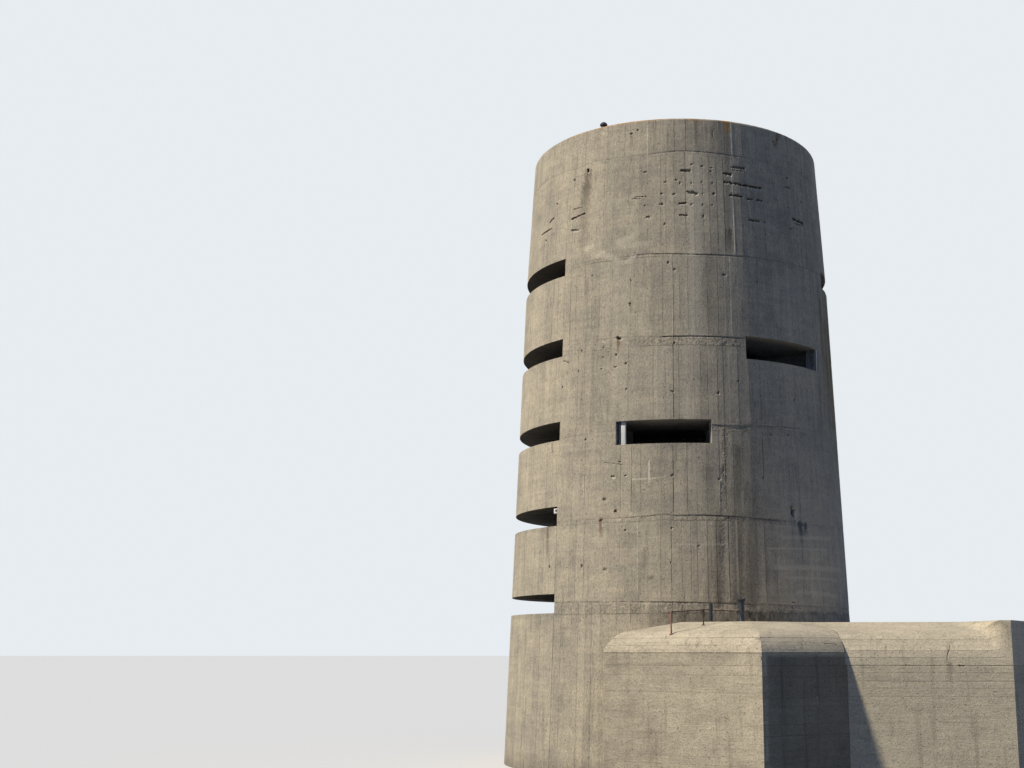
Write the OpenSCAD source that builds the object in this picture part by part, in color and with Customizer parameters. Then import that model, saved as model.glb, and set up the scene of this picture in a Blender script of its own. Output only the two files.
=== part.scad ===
// Coastal observation tower. A battered round shaft of cast concrete holds
// five observation storeys, each lit by a slit that wraps its seaward side,
// and a low bunker with rounded eaves stands at its landward foot.
// The origin is on the shaft's axis at ground level. Azimuths are measured
// from the landward direction (-Y) and grow towards +X.

/* [Shaft] */
// Outer radius of the shaft at ground level
foot_r = 5350; // [5200:10:5600]
// Inner radius of the rooms
room_r = 3100; // [2800:10:3300]
// Lean of the shaft wall, in millimetres for each metre of height
shaft_batter = 36; // [20:1:45]
// Lean of the wall above the top slit, in millimetres for each metre
head_batter = 57; // [40:1:70]

/* [Pours] */
// Top of the first pour, above the ground
pour_1_top = 4600; // [4560:5:4680]
// Top of the second pour
pour_2_top = 6960; // [6900:5:7100]
// Top of the third pour
pour_3_top = 9560; // [9500:5:9640]
// Top of the fourth pour
pour_4_top = 12100; // [12000:5:12140]
// Top of the fifth pour
pour_5_top = 14550; // [14500:5:14640]
// Top of the sixth pour, which is the roof deck
deck_z = 17750; // [17600:10:17900]
// Height of the parapet wall above the roof deck
parapet_h = 1060; // [900:10:1300]
// Thickness of the parapet wall at its foot
parapet_t = 900; // [600:10:1200]

/* [Observation slits] */
// Height of the lowest slit's middle above the ground
slit_1_z = 4620; // [4600:5:4640]
// Rise from one slit to the next
storey = 2490; // [2480:1:2500]
// Clear height of a slit
slit_h = 540; // [440:10:620]
// Azimuth at which every slit starts, on the left of the landward wall
slit_left = -46.4; // [-50:0.1:-42]
// Azimuth at which the four lower slits end, on the right
slit_right = 85; // [82:1:95]
// Azimuth at which the top slit ends, on the right
top_slit_right = 66; // [62:1:75]

/* [Landward windows] */
// Clear height of both windows
window_h = 680; // [600:10:720]
// Height of a window's head above the middle of its storey's slit
window_rise = 80; // [60:5:110]
// Azimuth of the lower window's left jamb
low_window_left = -23.6; // [-26:0.1:-22]
// Azimuth of the lower window's right jamb
low_window_right = 7.9; // [6:0.1:10]
// Azimuth of the upper window's left jamb
high_window_left = 20.7; // [18:0.1:22]
// Azimuth of the upper window's right jamb
high_window_right = 56; // [54:0.1:58]
// Depth of a window's outer reveal, before the opening widens
reveal_d = 350; // [300:10:420]
// Angle by which a window widens on both sides behind its reveal
recess_turn = 4.5; // [3:0.5:6]
// Width of the lower window's frame post
low_post_w = 250; // [200:5:280]
// Azimuth of the lower window's frame post
low_post_turn = -22; // [-22:0.1:-21]
// Width of each of the upper window's frame posts
high_post_w = 70; // [50:5:80]
// Azimuth of the upper window's frame posts
high_post_turn = 55.3; // [54:0.1:55.3]
// Depth of every window frame post
post_d = 80; // [50:5:90]
// Distance of the lower window's post behind the face of the wall
low_post_inset = 120; // [100:5:160]
// Distance of the upper window's front post behind the face of the wall
front_post_inset = 20; // [10:5:60]
// Distance of the upper window's rear post behind the face of the wall
rear_post_inset = 270; // [180:5:280]

/* [Floors] */
// Drop from a slit's middle to the floor under it
eye_h = 1400; // [1300:10:1500]
// Thickness of a storey floor
floor_t = 280; // [200:10:340]
// Thickness of the roof over the top storey
roof_t = 1800; // [1500:10:2000]
// Thickness of the ground floor
ground_t = 200; // [100:10:300]

/* [Bunker] */
// Height of the bunker's roof above the ground
bunker_h = 4050; // [3950:10:4150]
// Radius of the bunker's rounded eaves
eave_r = 780; // [650:10:850]
// Slope inwards at which an eave springs from the wall's face, in degrees
eave_spring = 16; // [8:1:22]
// Fall of the bunker's roof from its crest to the eaves, in degrees
roof_fall = 10; // [8:0.5:12]
// Distance of the roof's level crest in from the wall faces
crest_in = 2050; // [1900:10:2200]
// Thickness of the bunker's roof
bunker_roof_t = 1100; // [1000:10:1300]
// Thickness of the bunker's walls
bunker_t = 1200; // [1000:10:1400]
// Distance of the bunker's front corner to the right of the axis
corner_x = 1400; // [1200:10:1600]
// Distance of the bunker's front corner in front of the axis
corner_y = 9530; // [9300:10:9800]
// Turn of the two corner walls away from square to the landward side
corner_turn = 30; // [28:1:32]
// Length of the left corner wall
left_wall_l = 4350; // [4200:10:4500]
// Length of the right corner wall
right_wall_l = 2617; // [2500:1:2800]
// Turn of the wing's front wall
wing_turn = -6; // [-8:1:4]
// Length of the wing's front wall
wing_l = 4000; // [3700:10:4300]
// Turn of the wing's end wall
end_turn = 60; // [55:1:65]
// Length of the wing's end wall
end_l = 2900; // [2600:10:3200]
// Width of the upright pier that ends the wing's eave, on the front face
pier_w = 120; // [60:10:200]
// Turn of the pier's side away from the wing's front face
pier_turn = 68; // [60:1:75]
// Distance of the bunker's rear face in front of the axis
rear_y = 3200; // [3000:10:3400]

/* [Doorways] */
// Clear width of both doorways
door_w = 900; // [800:10:1000]
// Clear height of both doorways
door_h = 2000; // [1900:10:2100]
// Distance of the shaft's doorway to the right of the axis
shaft_door_x = 1400; // [1200:10:1500]
// Distance of the bunker's rear doorway to the right of the axis
rear_door_x = 7200; // [6800:10:7600]

/* [Ironwork] */
// Outer diameter of the plain vent pipe
vent_d = 100; // [80:2:130]
// Height of the plain vent pipe above the bunker roof
vent_h = 480; // [350:10:600]
// Distance of the plain vent pipe to the right of the axis
vent_x = 470; // [400:10:550]
// Outer diameter of the cowled vent pipe
cowl_pipe_d = 150; // [120:2:170]
// Height of the cowled vent pipe above the bunker roof
cowl_pipe_h = 600; // [500:10:800]
// Outer diameter of the cowl
cowl_d = 226; // [200:2:250]
// Height of the cowl's flare
cowl_flare_h = 60; // [40:5:90]
// Height of the cowl above its flare
cowl_rim_h = 30; // [20:5:50]
// Distance of the cowled vent pipe to the right of the axis
cowl_x = 1280; // [1220:10:1340]
// Distance of both vent pipes in front of the axis
vent_y = 6250; // [6100:10:6500]
// Wall thickness of both vent pipes
pipe_t = 8; // [5:1:12]
// Diameter of the guard rail's posts
rail_post_d = 42; // [30:1:60]
// Diameter of the guard rail's bar
rail_d = 28; // [20:1:40]
// Height of the guard rail's bar above the bunker roof
rail_h = 260; // [200:5:320]
// Distance of the guard rail's first post to the right of the axis
rail_start_x = -660; // [-760:10:-560]
// Distance of the guard rail's first post in front of the axis
rail_start_y = 7900; // [7800:10:8000]
// Distance of the guard rail's second post to the right of the axis
rail_mid_x = 206; // [150:2:250]
// Distance of the guard rail's second post in front of the axis
rail_mid_y = 7100; // [7000:10:7200]
// Diameter of the roof vent's domed cap
cap_d = 230; // [200:5:280]
// Diameter of the neck under the roof vent's cap
cap_neck_d = 150; // [120:5:160]
// Height of the neck under the roof vent's cap
cap_neck_h = 100; // [70:5:150]
// Azimuth of the roof vent
cap_azimuth = -32; // [-36:1:-28]
// Distance of the roof vent in from the parapet's outer edge
cap_set_in = 180; // [150:10:450]

/* [Hidden] */
// Even a short arc of the shaft wall keeps its true reach with this many sides
$fn = 360;

// Clearance between pieces cast or set against each other
seat = 0.3;
// How far a cutting tool runs past the face that it cuts
past = 400;
// How far two cutting tools lap over each other
lap = 50;
// Azimuth at which the right and left seaward walls meet
sea_joint = (slit_right + slit_left + 360) / 2;
rim_z = deck_z + parapet_h;
pour_tops = [0, pour_1_top, pour_2_top, pour_3_top, pour_4_top, pour_5_top, deck_z];

function slit_mid(k) = slit_1_z + (k - 1) * storey;
function slit_sill(k) = slit_mid(k) - slit_h / 2;
function slit_head(k) = slit_mid(k) + slit_h / 2;
function floor_z(k) = slit_mid(k) - eye_h;
// Outer radius of the shaft at a height, with its break at the fifth pour
function wall_r(z) = z < pour_5_top
    ? foot_r - shaft_batter * z / 1000
    : foot_r - shaft_batter * pour_5_top / 1000 - head_batter * (z - pour_5_top) / 1000;

// Plan of the bunker, as outer corners and outward wall directions
function facing(turn) = [sin(turn), -cos(turn)];
function along(turn) = [cos(turn), sin(turn)];
n_left = facing(-corner_turn);
n_right = facing(corner_turn);
n_wing = facing(wing_turn);
n_end = facing(end_turn);
n_side = [1, 0];
n_return = [-1, 0];
n_rear = [0, 1];
front_corner = [corner_x, -corner_y];
left_corner = front_corner - left_wall_l * along(-corner_turn);
inner_corner = front_corner + right_wall_l * along(corner_turn);
wing_corner = inner_corner + wing_l * along(wing_turn);
end_corner = wing_corner + end_l * along(end_turn);
rear_corner = [end_corner[0], -rear_y];
// Point set in from a corner by one distance from both of its walls
function inset(p, n1, n2, d) = p - d * (n1 + n2) / (1 + n1 * n2);
// The valley between the bunker's two roofs runs from the inner corner into the shaft
valley_dir = -(n_right + n_wing) / norm(n_right + n_wing);
valley_foot = inner_corner
    + (-rear_y - bunker_t - inner_corner[1]) / valley_dir[1] * valley_dir;
// Longer than any side of the bunker
reach = 16000;

module by_azimuth(a) rotate([0, 0, a - 90]) children();

// A stretch of the shaft wall between two heights and two azimuths
module wall_piece(z0, z1, a0, a1, inner = room_r)
    by_azimuth(a0)
        rotate_extrude(angle = a1 - a0)
            polygon([[inner, z0], [wall_r(z0), z0], [wall_r(z1), z1], [inner, z1]]);

// The room that a slit or a window takes from the wall, between two radii
module wall_gap(z0, z1, a0, a1, r0 = room_r - past, r1 = foot_r + past)
    by_azimuth(a0)
        rotate_extrude(angle = a1 - a0)
            polygon([[r0, z0], [r1, z0], [r1, z1], [r0, z1]]);

// A window is cut square through the reveal and widens on both sides behind it
function window_sill(k) = slit_mid(k) + window_rise - window_h;
module window_gap(k, a0, a1) {
    sill = window_sill(k);
    head = sill + window_h;
    recess_r = wall_r(sill) - reveal_d;
    wall_gap(sill, head, a0, a1, r0 = recess_r - lap);
    wall_gap(sill, head, a0 - recess_turn, a1 + recess_turn, r1 = recess_r);
}

module doorway(x, y0, y1)
    translate([x - door_w / 2, y0, -past])
        cube([door_w, y1 - y0, door_h + past]);

// Landward wall of pour k, which carries the windows and the shaft's doorway
module landward_wall(k)
    color("#a39c8a")
        difference() {
            wall_piece(pour_tops[k - 1], pour_tops[k], slit_left, slit_right);
            if (k == 1)
                doorway(shaft_door_x, -foot_r - past, -room_r / 2);
            if (k == 3 || k == 4)
                window_gap(3, low_window_left, low_window_right);
            if (k == 4 || k == 5)
                window_gap(4, high_window_left, high_window_right);
            if (k == 5 || k == 6)
                wall_gap(slit_sill(5), slit_head(5), top_slit_right, slit_right + 5);
        }

// Seaward walls of pour k run from the slit below to the slit above
function sea_foot(k) = k == 1 ? 0 : slit_head(k - 1);
function sea_top(k) = k == 6 ? deck_z : slit_sill(k);
module right_wall(k)
    color("#99937f")
        wall_piece(sea_foot(k), sea_top(k), slit_right, sea_joint);
module left_wall(k)
    color("#aba48f")
        wall_piece(sea_foot(k), sea_top(k), sea_joint, slit_left + 360);

module parapet(a0, a1)
    color("#a8a294")
        wall_piece(deck_z, rim_z, a0, a1, wall_r(deck_z) - parapet_t);

// A round slab cast inside the shaft
module slab(top, thickness)
    color("#8f8a7c")
        translate([0, 0, top - thickness])
            cylinder(h = thickness, r = room_r - seat);

// The eave in section, seen along the wall with its outer face at zero: the round
// springs back from a lip on the wall and meets the sloping roof, which runs up to
// the level crest. It stands a little proud of the roof and meets it at an arris.
eave_proud = 5;
eave_set = eave_r * cos(eave_spring);
slope_foot = [-eave_set + eave_r * sin(roof_fall),
              bunker_h - (crest_in - eave_set + eave_r * sin(roof_fall)) * tan(roof_fall)];
eave_axis = [-eave_set, slope_foot[1] - eave_r * cos(roof_fall)];
round_axis = eave_axis + [eave_proud, eave_proud];
lip_z = eave_axis[1] + eave_r * sin(eave_spring);
module eave_waste()
    difference() {
        polygon([[past, lip_z], [past, bunker_h + past],
                 [-crest_in, bunker_h + past], [-crest_in, bunker_h],
                 slope_foot, eave_axis, [0, lip_z]]);
        translate(round_axis) circle(r = eave_r);
    }

// Rounds the roof's edge over the wall that starts at p and faces one way
module round_eave(p, turn)
    translate([p[0], p[1], 0])
        rotate([0, 0, turn - 90])
            rotate([90, 0, 0])
                translate([0, 0, -reach])
                    linear_extrude(height = 2 * reach) eave_waste();

// Room that the shaft takes from a piece cast against its outer face
module shaft_gap()
    translate([0, 0, -past])
        cylinder(h = bunker_h + 2 * past,
                 r1 = wall_r(-past) + seat, r2 = wall_r(bunker_h + past) + seat);

module roof_slab(plan)
    translate([0, 0, bunker_h - bunker_roof_t])
        linear_extrude(height = bunker_roof_t) polygon(plan);

module bunker_roof()
    color("#b0a88f")
        difference() {
            roof_slab([left_corner, front_corner, inner_corner, valley_foot,
                       [left_corner[0], -rear_y]]);
            round_eave(left_corner, -90);
            round_eave(front_corner, -corner_turn);
            round_eave(front_corner, corner_turn);
            shaft_gap();
        }

// The front eave stops against the turned side of a pier at the wing's outer corner
pier_foot = wing_corner - pier_w * along(wing_turn);
pier_side = along(wing_turn + 180 - pier_turn);
module wing_pier() {
    outer = pier_foot - lap * pier_side;
    back = pier_foot + (crest_in / sin(pier_turn) + lap) * pier_side;
    linear_extrude(height = bunker_h + 2 * past)
        polygon([outer, outer + reach * along(wing_turn),
                 back + reach * along(wing_turn), back]);
}

// The wing's end and side faces stand upright to the crest, so only its front and
// rear edges are rounded
module wing_roof()
    color("#b0a88f")
        difference() {
            roof_slab([inner_corner, wing_corner, end_corner, rear_corner,
                       [room_r, -rear_y], valley_foot]);
            difference() {
                round_eave(inner_corner, wing_turn);
                wing_pier();
            }
            round_eave(rear_corner, 180);
            shaft_gap();
        }

// A straight bunker wall between two corners and their inner points
module bunker_wall(corners, shade)
    color(shade)
        linear_extrude(height = bunker_h - bunker_roof_t) polygon(corners);

left_inner = inset(left_corner, n_return, n_left, bunker_t);
front_inner = inset(front_corner, n_left, n_right, bunker_t);
inner_inner = inset(inner_corner, n_right, n_wing, bunker_t);
wing_inner = inset(wing_corner, n_wing, n_end, bunker_t);
end_inner = inset(end_corner, n_end, n_side, bunker_t);
rear_inner = inset(rear_corner, n_side, n_rear, bunker_t);

module bunker_left_wall()
    bunker_wall([left_corner, front_corner, front_inner, left_inner], "#a7a08b");
module bunker_right_wall()
    bunker_wall([front_corner, inner_corner, inner_inner, front_inner], "#5c5c58");
module wing_front_wall()
    bunker_wall([inner_corner, wing_corner, wing_inner, inner_inner], "#a39b84");
module wing_end_wall()
    bunker_wall([wing_corner, end_corner, end_inner, wing_inner], "#77746a");
module wing_side_wall()
    bunker_wall([end_corner, rear_corner, rear_inner, end_inner], "#77746a");
module bunker_return_wall()
    difference() {
        bunker_wall([left_corner, left_inner, [left_inner[0], 0], [left_corner[0], 0]],
                    "#a7a08b");
        shaft_gap();
    }
module wing_rear_wall()
    difference() {
        bunker_wall([rear_corner, rear_inner, [room_r, rear_inner[1]], [room_r, -rear_y]],
                    "#8b8677");
        shaft_gap();
        doorway(rear_door_x, rear_inner[1] - past, -rear_y + past);
    }

// A frame post of window k, from its sill to its head
module window_post(k, turn, width, inset)
    color("#c9c8c2")
        by_azimuth(turn)
            translate([wall_r(window_sill(k)) - inset - post_d, -width / 2,
                       window_sill(k) + seat])
                cube([post_d, width, window_h - 2 * seat]);

module low_window_post()
    window_post(3, low_post_turn, low_post_w, low_post_inset);
module high_window_posts() {
    window_post(4, high_post_turn, high_post_w, front_post_inset);
    window_post(4, high_post_turn, high_post_w, rear_post_inset);
}

module vent_pipe()
    color("#34383c")
        translate([vent_x, -vent_y, bunker_h + seat])
            difference() {
                cylinder(h = vent_h, d = vent_d);
                translate([0, 0, pipe_t])
                    cylinder(h = vent_h, d = vent_d - 2 * pipe_t);
            }

// The cowled pipe widens into a flared head under a flat cross plate
module cowl_pipe()
    color("#34383c")
        translate([cowl_x, -vent_y, bunker_h + seat])
            rotate_extrude()
                polygon([[0, 0], [cowl_pipe_d / 2, 0],
                         [cowl_pipe_d / 2, cowl_pipe_h - cowl_rim_h - cowl_flare_h],
                         [cowl_d / 2, cowl_pipe_h - cowl_rim_h],
                         [cowl_d / 2, cowl_pipe_h], [0, cowl_pipe_h]]);

rail_start = [rail_start_x, -rail_start_y];
rail_mid = [rail_mid_x, -rail_mid_y];
rail_z = bunker_h + rail_h;
// Distance of a point on the roof in from the left corner wall's face
function roof_depth(p) = (front_corner - p) * n_left;
// Height of the bunker roof at a distance in from the left corner wall's face
function roof_z(depth) = depth < -slope_foot[0]
    ? round_axis[1] + sqrt(eave_r * eave_r - pow(depth + round_axis[0], 2))
    : min(slope_foot[1] + (depth + slope_foot[0]) * tan(roof_fall), bunker_h);
module rail_bar(p, q) {
    run = norm(q - p);
    translate([p[0], p[1], rail_z])
        rotate([0, 0, atan2(q[1] - p[1], q[0] - p[0])])
            rotate([0, 90, 0])
                cylinder(h = run, d = rail_d, $fn = 24);
}
// A post stands on the highest point of the sloping roof under its foot
module rail_post(p) {
    foot_z = roof_z(roof_depth(p) + rail_post_d / 2) + seat;
    translate([p[0], p[1], foot_z])
        cylinder(h = rail_z + rail_d - foot_z, d = rail_post_d, $fn = 24);
}
// The rail runs from the eave to the cowled pipe and stops at its face
module guard_rail() {
    cowl_axis = [cowl_x, -vent_y];
    last_run = cowl_axis - rail_mid;
    last = cowl_axis - (cowl_pipe_d / 2 + seat) * last_run / norm(last_run);
    color("#5a3a2c") {
        rail_post(rail_start);
        rail_post(rail_mid);
        rail_bar(rail_start, rail_mid);
        rail_bar(rail_mid, last);
    }
}

// An iron dome on a short neck, near the parapet's outer edge
module roof_vent_cap()
    color("#3a3d40")
        by_azimuth(cap_azimuth)
            translate([wall_r(rim_z) - cap_set_in, 0, rim_z + seat])
                rotate_extrude() {
                    square([cap_neck_d / 2, cap_neck_h + cap_neck_d / 4]);
                    translate([0, cap_neck_h])
                        intersection() {
                            circle(d = cap_d);
                            square([cap_d, cap_d]);
                        }
                }

landward_wall(1);  // base_landward_wall
right_wall(1);  // base_right_wall
left_wall(1);  // base_left_wall
landward_wall(2);  // first_landward_wall
right_wall(2);  // first_right_wall
left_wall(2);  // first_left_wall
landward_wall(3);  // second_landward_wall
right_wall(3);  // second_right_wall
left_wall(3);  // second_left_wall
landward_wall(4);  // third_landward_wall
right_wall(4);  // third_right_wall
left_wall(4);  // third_left_wall
landward_wall(5);  // fourth_landward_wall
right_wall(5);  // fourth_right_wall
left_wall(5);  // fourth_left_wall
landward_wall(6);  // head_landward_wall
right_wall(6);  // head_right_wall
left_wall(6);  // head_left_wall
parapet(-90, 90);  // landward_parapet
parapet(90, 270);  // seaward_parapet
slab(ground_t, ground_t);  // ground_floor
slab(floor_z(1), floor_t);  // first_floor
slab(floor_z(2), floor_t);  // second_floor
slab(floor_z(3), floor_t);  // third_floor
slab(floor_z(4), floor_t);  // fourth_floor
slab(floor_z(5), floor_t);  // fifth_floor
slab(deck_z, roof_t);  // tower_roof
bunker_left_wall();
bunker_right_wall();
bunker_return_wall();
wing_front_wall();
wing_end_wall();
wing_side_wall();
wing_rear_wall();
bunker_roof();
wing_roof();
low_window_post();
high_window_posts();
vent_pipe();
cowl_pipe();
guard_rail();
roof_vent_cap();
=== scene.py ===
import math

import bmesh
import bpy
import numpy as np
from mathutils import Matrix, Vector


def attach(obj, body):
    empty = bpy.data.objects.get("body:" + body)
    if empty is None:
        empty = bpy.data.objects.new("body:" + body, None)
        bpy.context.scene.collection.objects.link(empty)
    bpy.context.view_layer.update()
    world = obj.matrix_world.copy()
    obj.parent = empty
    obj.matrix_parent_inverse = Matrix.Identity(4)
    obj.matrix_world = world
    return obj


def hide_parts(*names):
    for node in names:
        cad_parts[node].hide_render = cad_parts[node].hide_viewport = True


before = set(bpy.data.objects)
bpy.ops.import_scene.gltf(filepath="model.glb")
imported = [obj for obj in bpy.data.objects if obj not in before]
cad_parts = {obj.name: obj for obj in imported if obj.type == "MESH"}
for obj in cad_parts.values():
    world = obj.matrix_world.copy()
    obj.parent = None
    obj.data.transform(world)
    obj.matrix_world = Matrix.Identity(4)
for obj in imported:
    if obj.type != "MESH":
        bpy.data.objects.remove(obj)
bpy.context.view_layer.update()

scene = bpy.context.scene

# The view. The tower is seen from the landward side, from 42 m away and a
# little left of its axis, with the lens tipped up by eleven degrees.
eye = Vector((-2.445, -42.0, 3.3))
tilt = math.radians(11.276)
frame_px, focal_px, axis_px, axis_py = 1024, 1339.1, 600.0, 384.0

lens = bpy.data.cameras.new("landward_view")
lens.sensor_width = 36.0
lens.lens = lens.sensor_width * focal_px / frame_px
lens.shift_x = (frame_px / 2 - axis_px) / frame_px
lens.clip_end = 3000.0
camera = bpy.data.objects.new("landward_view", lens)
camera.location = eye
camera.rotation_euler = (math.radians(90) + tilt, 0, 0)
scene.collection.objects.link(camera)
scene.camera = camera

# Storey floors and the tower's roof. Plain slabs of cast concrete, poured on
# boards inside the shaft, dusty and damp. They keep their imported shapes.
class Wire:
    """A value on its way through a finish's nodes."""

    def __init__(self, tree, socket=None):
        self.tree, self.socket = tree, socket

    def node(self, kind, settings=None, values=None, out=0):
        """A new node with its settings and what its inputs get, as the value that one output gives."""
        made = self.tree.nodes.new(kind)
        for key, value in (settings or {}).items():
            setattr(made, key, value)
        for key, value in (values or {}).items():
            if isinstance(value, Wire):
                self.tree.links.new(value.socket, made.inputs[key])
            else:
                made.inputs[key].default_value = value
        return Wire(self.tree, made.outputs[out] if made.outputs else None)

    def maths(self, operation, *terms, clamp=False):
        return self.node("ShaderNodeMath", {"operation": operation, "use_clamp": clamp},
                         dict(enumerate(terms)))

    def __add__(self, other):
        return self.maths("ADD", self, other)

    def __sub__(self, other):
        return self.maths("SUBTRACT", self, other)

    def __rsub__(self, other):
        return self.maths("SUBTRACT", other, self)

    def __mul__(self, other):
        return self.maths("MULTIPLY", self, other)

    __radd__, __rmul__ = __add__, __mul__

    def held(self):
        """The value, kept between 0 and 1."""
        return self.maths("ADD", self, 0.0, clamp=True)

    def rise(self, low, high):
        """0 up to low, 1 from high, and a smooth rise between them."""
        return self.node("ShaderNodeMapRange", {"interpolation_type": "SMOOTHSTEP"},
                         {"Value": self, "From Min": low, "From Max": high})

    def scaled(self, size):
        """A vector, times a number on its way or a vector of plain numbers."""
        if isinstance(size, Wire):
            return self.node("ShaderNodeVectorMath", {"operation": "SCALE"}, {0: self, "Scale": size})
        return self.node("ShaderNodeVectorMath", {"operation": "MULTIPLY"}, {0: self, 1: size})

    def cloud(self, size, detail=4.0, roughness=0.55, stretch=(1, 1, 1)):
        """Soft noise between 0 and 1 at a point, with features about 1 / size apart."""
        return self.node("ShaderNodeTexNoise", {}, {
            "Vector": self.scaled(stretch), "Scale": size, "Detail": detail, "Roughness": roughness})

    def blend(self, first, last):
        """A colour between two, by this share of the last."""
        return self.node("ShaderNodeMix", {"data_type": "RGBA"}, {0: self, 6: first, 7: last}, out=2)

    def toward(self, other, share):
        """A colour, mixed towards another by a share."""
        return share.blend(self, other)

    def read(self, name):
        """A number that the mesh carries on its points."""
        return self.node("ShaderNodeAttribute", {"attribute_name": name}, out=2)


def new_finish(name):
    material = bpy.data.materials.new(name)
    material.use_nodes = True
    material.node_tree.nodes.clear()
    return material, Wire(material.node_tree)


def finish_off(wire, colour, roughness, specular, height=None, depth=0.0):
    """Ends a finish in its shader, with a relief of a depth in metres where it has a height."""
    values = {"Base Color": colour, "Roughness": roughness, "Specular IOR Level": specular}
    if height is not None:
        values["Normal"] = wire.node("ShaderNodeBump", {}, {
            "Height": height, "Distance": depth, "Strength": 1.0})
    shaded = wire.node("ShaderNodeBsdfPrincipled", {}, values)
    wire.node("ShaderNodeOutputMaterial", {}, {"Surface": shaded})


# Stain colours. The dark one is soot and dirt and also painted shade, the pale one lime and also painted
# light, and the blue-grey one algae and also the cool tint of painted shade.
soot_and_shade, lime_and_painted_light, ochre = (0.028, 0.026, 0.024, 1), (0.66, 0.58, 0.45, 1), (0.52, 0.44, 0.30, 1)
rust_brown, lichen_orange = (0.17, 0.085, 0.04, 1), (0.44, 0.19, 0.025, 1)
moss_olive, shade_and_algae_grey = (0.085, 0.07, 0.028, 1), (0.24, 0.29, 0.32, 1)


def cast_concrete(name, light, deep, run, print_shows=0.10, streak=1.0):
    """Board-marked concrete between a light and a deep colour. run squeezes the noise along the boards,
    so that it streaks their way, and print_shows is how far one board differs from the next. The mesh
    says where joints, rough patches, stains, painted light and painted shade are."""
    material, wire = new_finish(name)
    at = wire.node("ShaderNodeTexCoord", out=3)
    broad = at.cloud(0.30, 3)
    patch = at.cloud(0.85, 5, 0.62, (1, 1, 1.7))
    lift = at.cloud(4.2, 4, 0.62, (0.22, 0.22, 2.4))
    drip = at.cloud(5.5, 4, 0.6, (1, 1, 0.07))
    mottle = at.cloud(2.1, 6, 0.68)
    fibre = at.cloud(13.0, 4, 0.62, run)
    thread = at.cloud(33.0, 3, 0.6, [part ** 0.75 for part in run])
    grain = at.cloud(24.0, 5, 0.72)
    worn = (1.15 * (mottle - 0.5) + 0.9 * streak * (fibre - 0.5) + 0.9 * (broad - 0.5)
            + 1.15 * (patch - 0.5) + 0.9 * (lift - 0.5) + print_shows * wire.read("tone"))
    colour = (0.5 + worn).held().blend((*deep, 1), (*light, 1))
    colour = colour.toward((*(0.62 * part for part in deep), 1), 0.55 * drip.rise(0.53, 0.76))
    colour = colour.toward(ochre, 0.16 * (patch * mottle * 2.0).rise(0.5, 0.8))
    tint = 1.0 + 0.75 * streak * (thread - 0.5) + 1.25 * (grain - 0.5)
    line = wire.read("line")
    tint = tint * (1.0 - 0.95 * line.held() * (0.35 + 1.3 * fibre)).held()
    tint = tint * (1.0 + 0.50 * (0.0 - line).held() * (0.3 + 1.2 * fibre))
    rough = wire.read("rough")
    pitted = at.cloud(12.0, 5, 0.75)
    tint = tint * (1.0 + rough * (2.0 * pitted - 1.12))
    colour = colour.scaled(tint)
    # The stains the mesh carries; dark, pale and the blue-grey film also carry painted shade and painted
    # light.
    stains = (("dark", soot_and_shade, 0.45 + 1.2 * mottle), ("pale", lime_and_painted_light, 0.2 + 1.4 * grain),
              ("rust", rust_brown, 0.3 + 1.3 * fibre),
              ("lichen", lichen_orange, at.cloud(9.0, 5, 0.65).rise(0.36, 0.56)),
              ("moss", moss_olive, 2.2 * fibre * mottle + 0.6 * mottle),
              ("film", shade_and_algae_grey, 0.4 + 1.2 * patch))
    for stain, stained, uneven in stains:
        colour = colour.toward(stained, (wire.read(stain) * uneven).held())
    pores = at.cloud(27.0, 2, 0.5).rise(0.64, 0.72)
    colour = colour.scaled(1.0 - 0.5 * pores)
    height = (0.35 * fibre + 0.25 * thread + 0.8 * grain + 0.6 * mottle - 0.7 * pores
              + 1.8 * rough * pitted)
    finish_off(wire, colour, (0.82 + 0.14 * mottle).held(), 0.18, height, 0.011)
    return material


slab_concrete = cast_concrete("slab_concrete", (0.42, 0.39, 0.34), (0.26, 0.245, 0.22), (1, 1, 1))
for slab in ("ground_floor", "first_floor", "second_floor", "third_floor", "fourth_floor",
             "fifth_floor", "tower_roof"):
    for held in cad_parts[slab].material_slots:
        held.material = slab_concrete

# Shaft walls. Six pours of concrete, cast in round shuttering of upright
# boards, stand on each other. The wall leans in as it rises, and the seaward
# side is cut by five slits. Every board has left its print on the face.
foot_r, batter, head_batter, head_z, room_r = 5.350, 0.036, 0.057, 14.55, 3.1
pour_tops = (0.0, 4.6, 6.96, 9.56, 12.10, 14.55, 17.75)
rim_z = 18.81
slit_from, slit_to, top_slit_to, sea_joint = -46.4, 85.0, 66.0, 199.3
first_sill, storey, slit_h = 4.35, 2.49, 0.54
slit_sills = [first_sill + storey * k for k in range(5)]
slit_heads = [sill + slit_h for sill in slit_sills]
low_window = (-23.6, 7.9, 9.00, 9.68)
high_window = (20.7, 56.0, 11.49, 12.17)
reveal, widening = 0.35, 4.5
shaft_door = (10.3, 20.4, 2.0)


def face_r(z):
    """Radius of the shaft's face at a height."""
    return np.where(z < head_z, foot_r - batter * z, foot_r - batter * head_z - head_batter * (z - head_z))


def ray_to(px, py):
    """How far right, ahead and up the line of sight goes to a point of the view, in its pixels."""
    right, down = (px - axis_px) / focal_px, (py - axis_py) / focal_px
    return right, math.cos(tilt) + down * math.sin(tilt), math.sin(tilt) - down * math.cos(tilt)


def seen_at(px, py):
    """Azimuth in degrees and height of the shaft's face at a point of the view, in its pixels."""
    right, ahead, climb = ray_to(px, py)
    z, rounds = 8.0, 8
    for _ in range(rounds):
        a = right * right + ahead * ahead
        b = eye.x * right + eye.y * ahead
        c = eye.x ** 2 + eye.y ** 2 - float(face_r(z)) ** 2
        t = (-b - math.sqrt(max(b * b - a * c, 0.0))) / a
        z = eye.z + t * climb
    return math.degrees(math.atan2(eye.x + t * right, -(eye.y + t * ahead))), z


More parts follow.
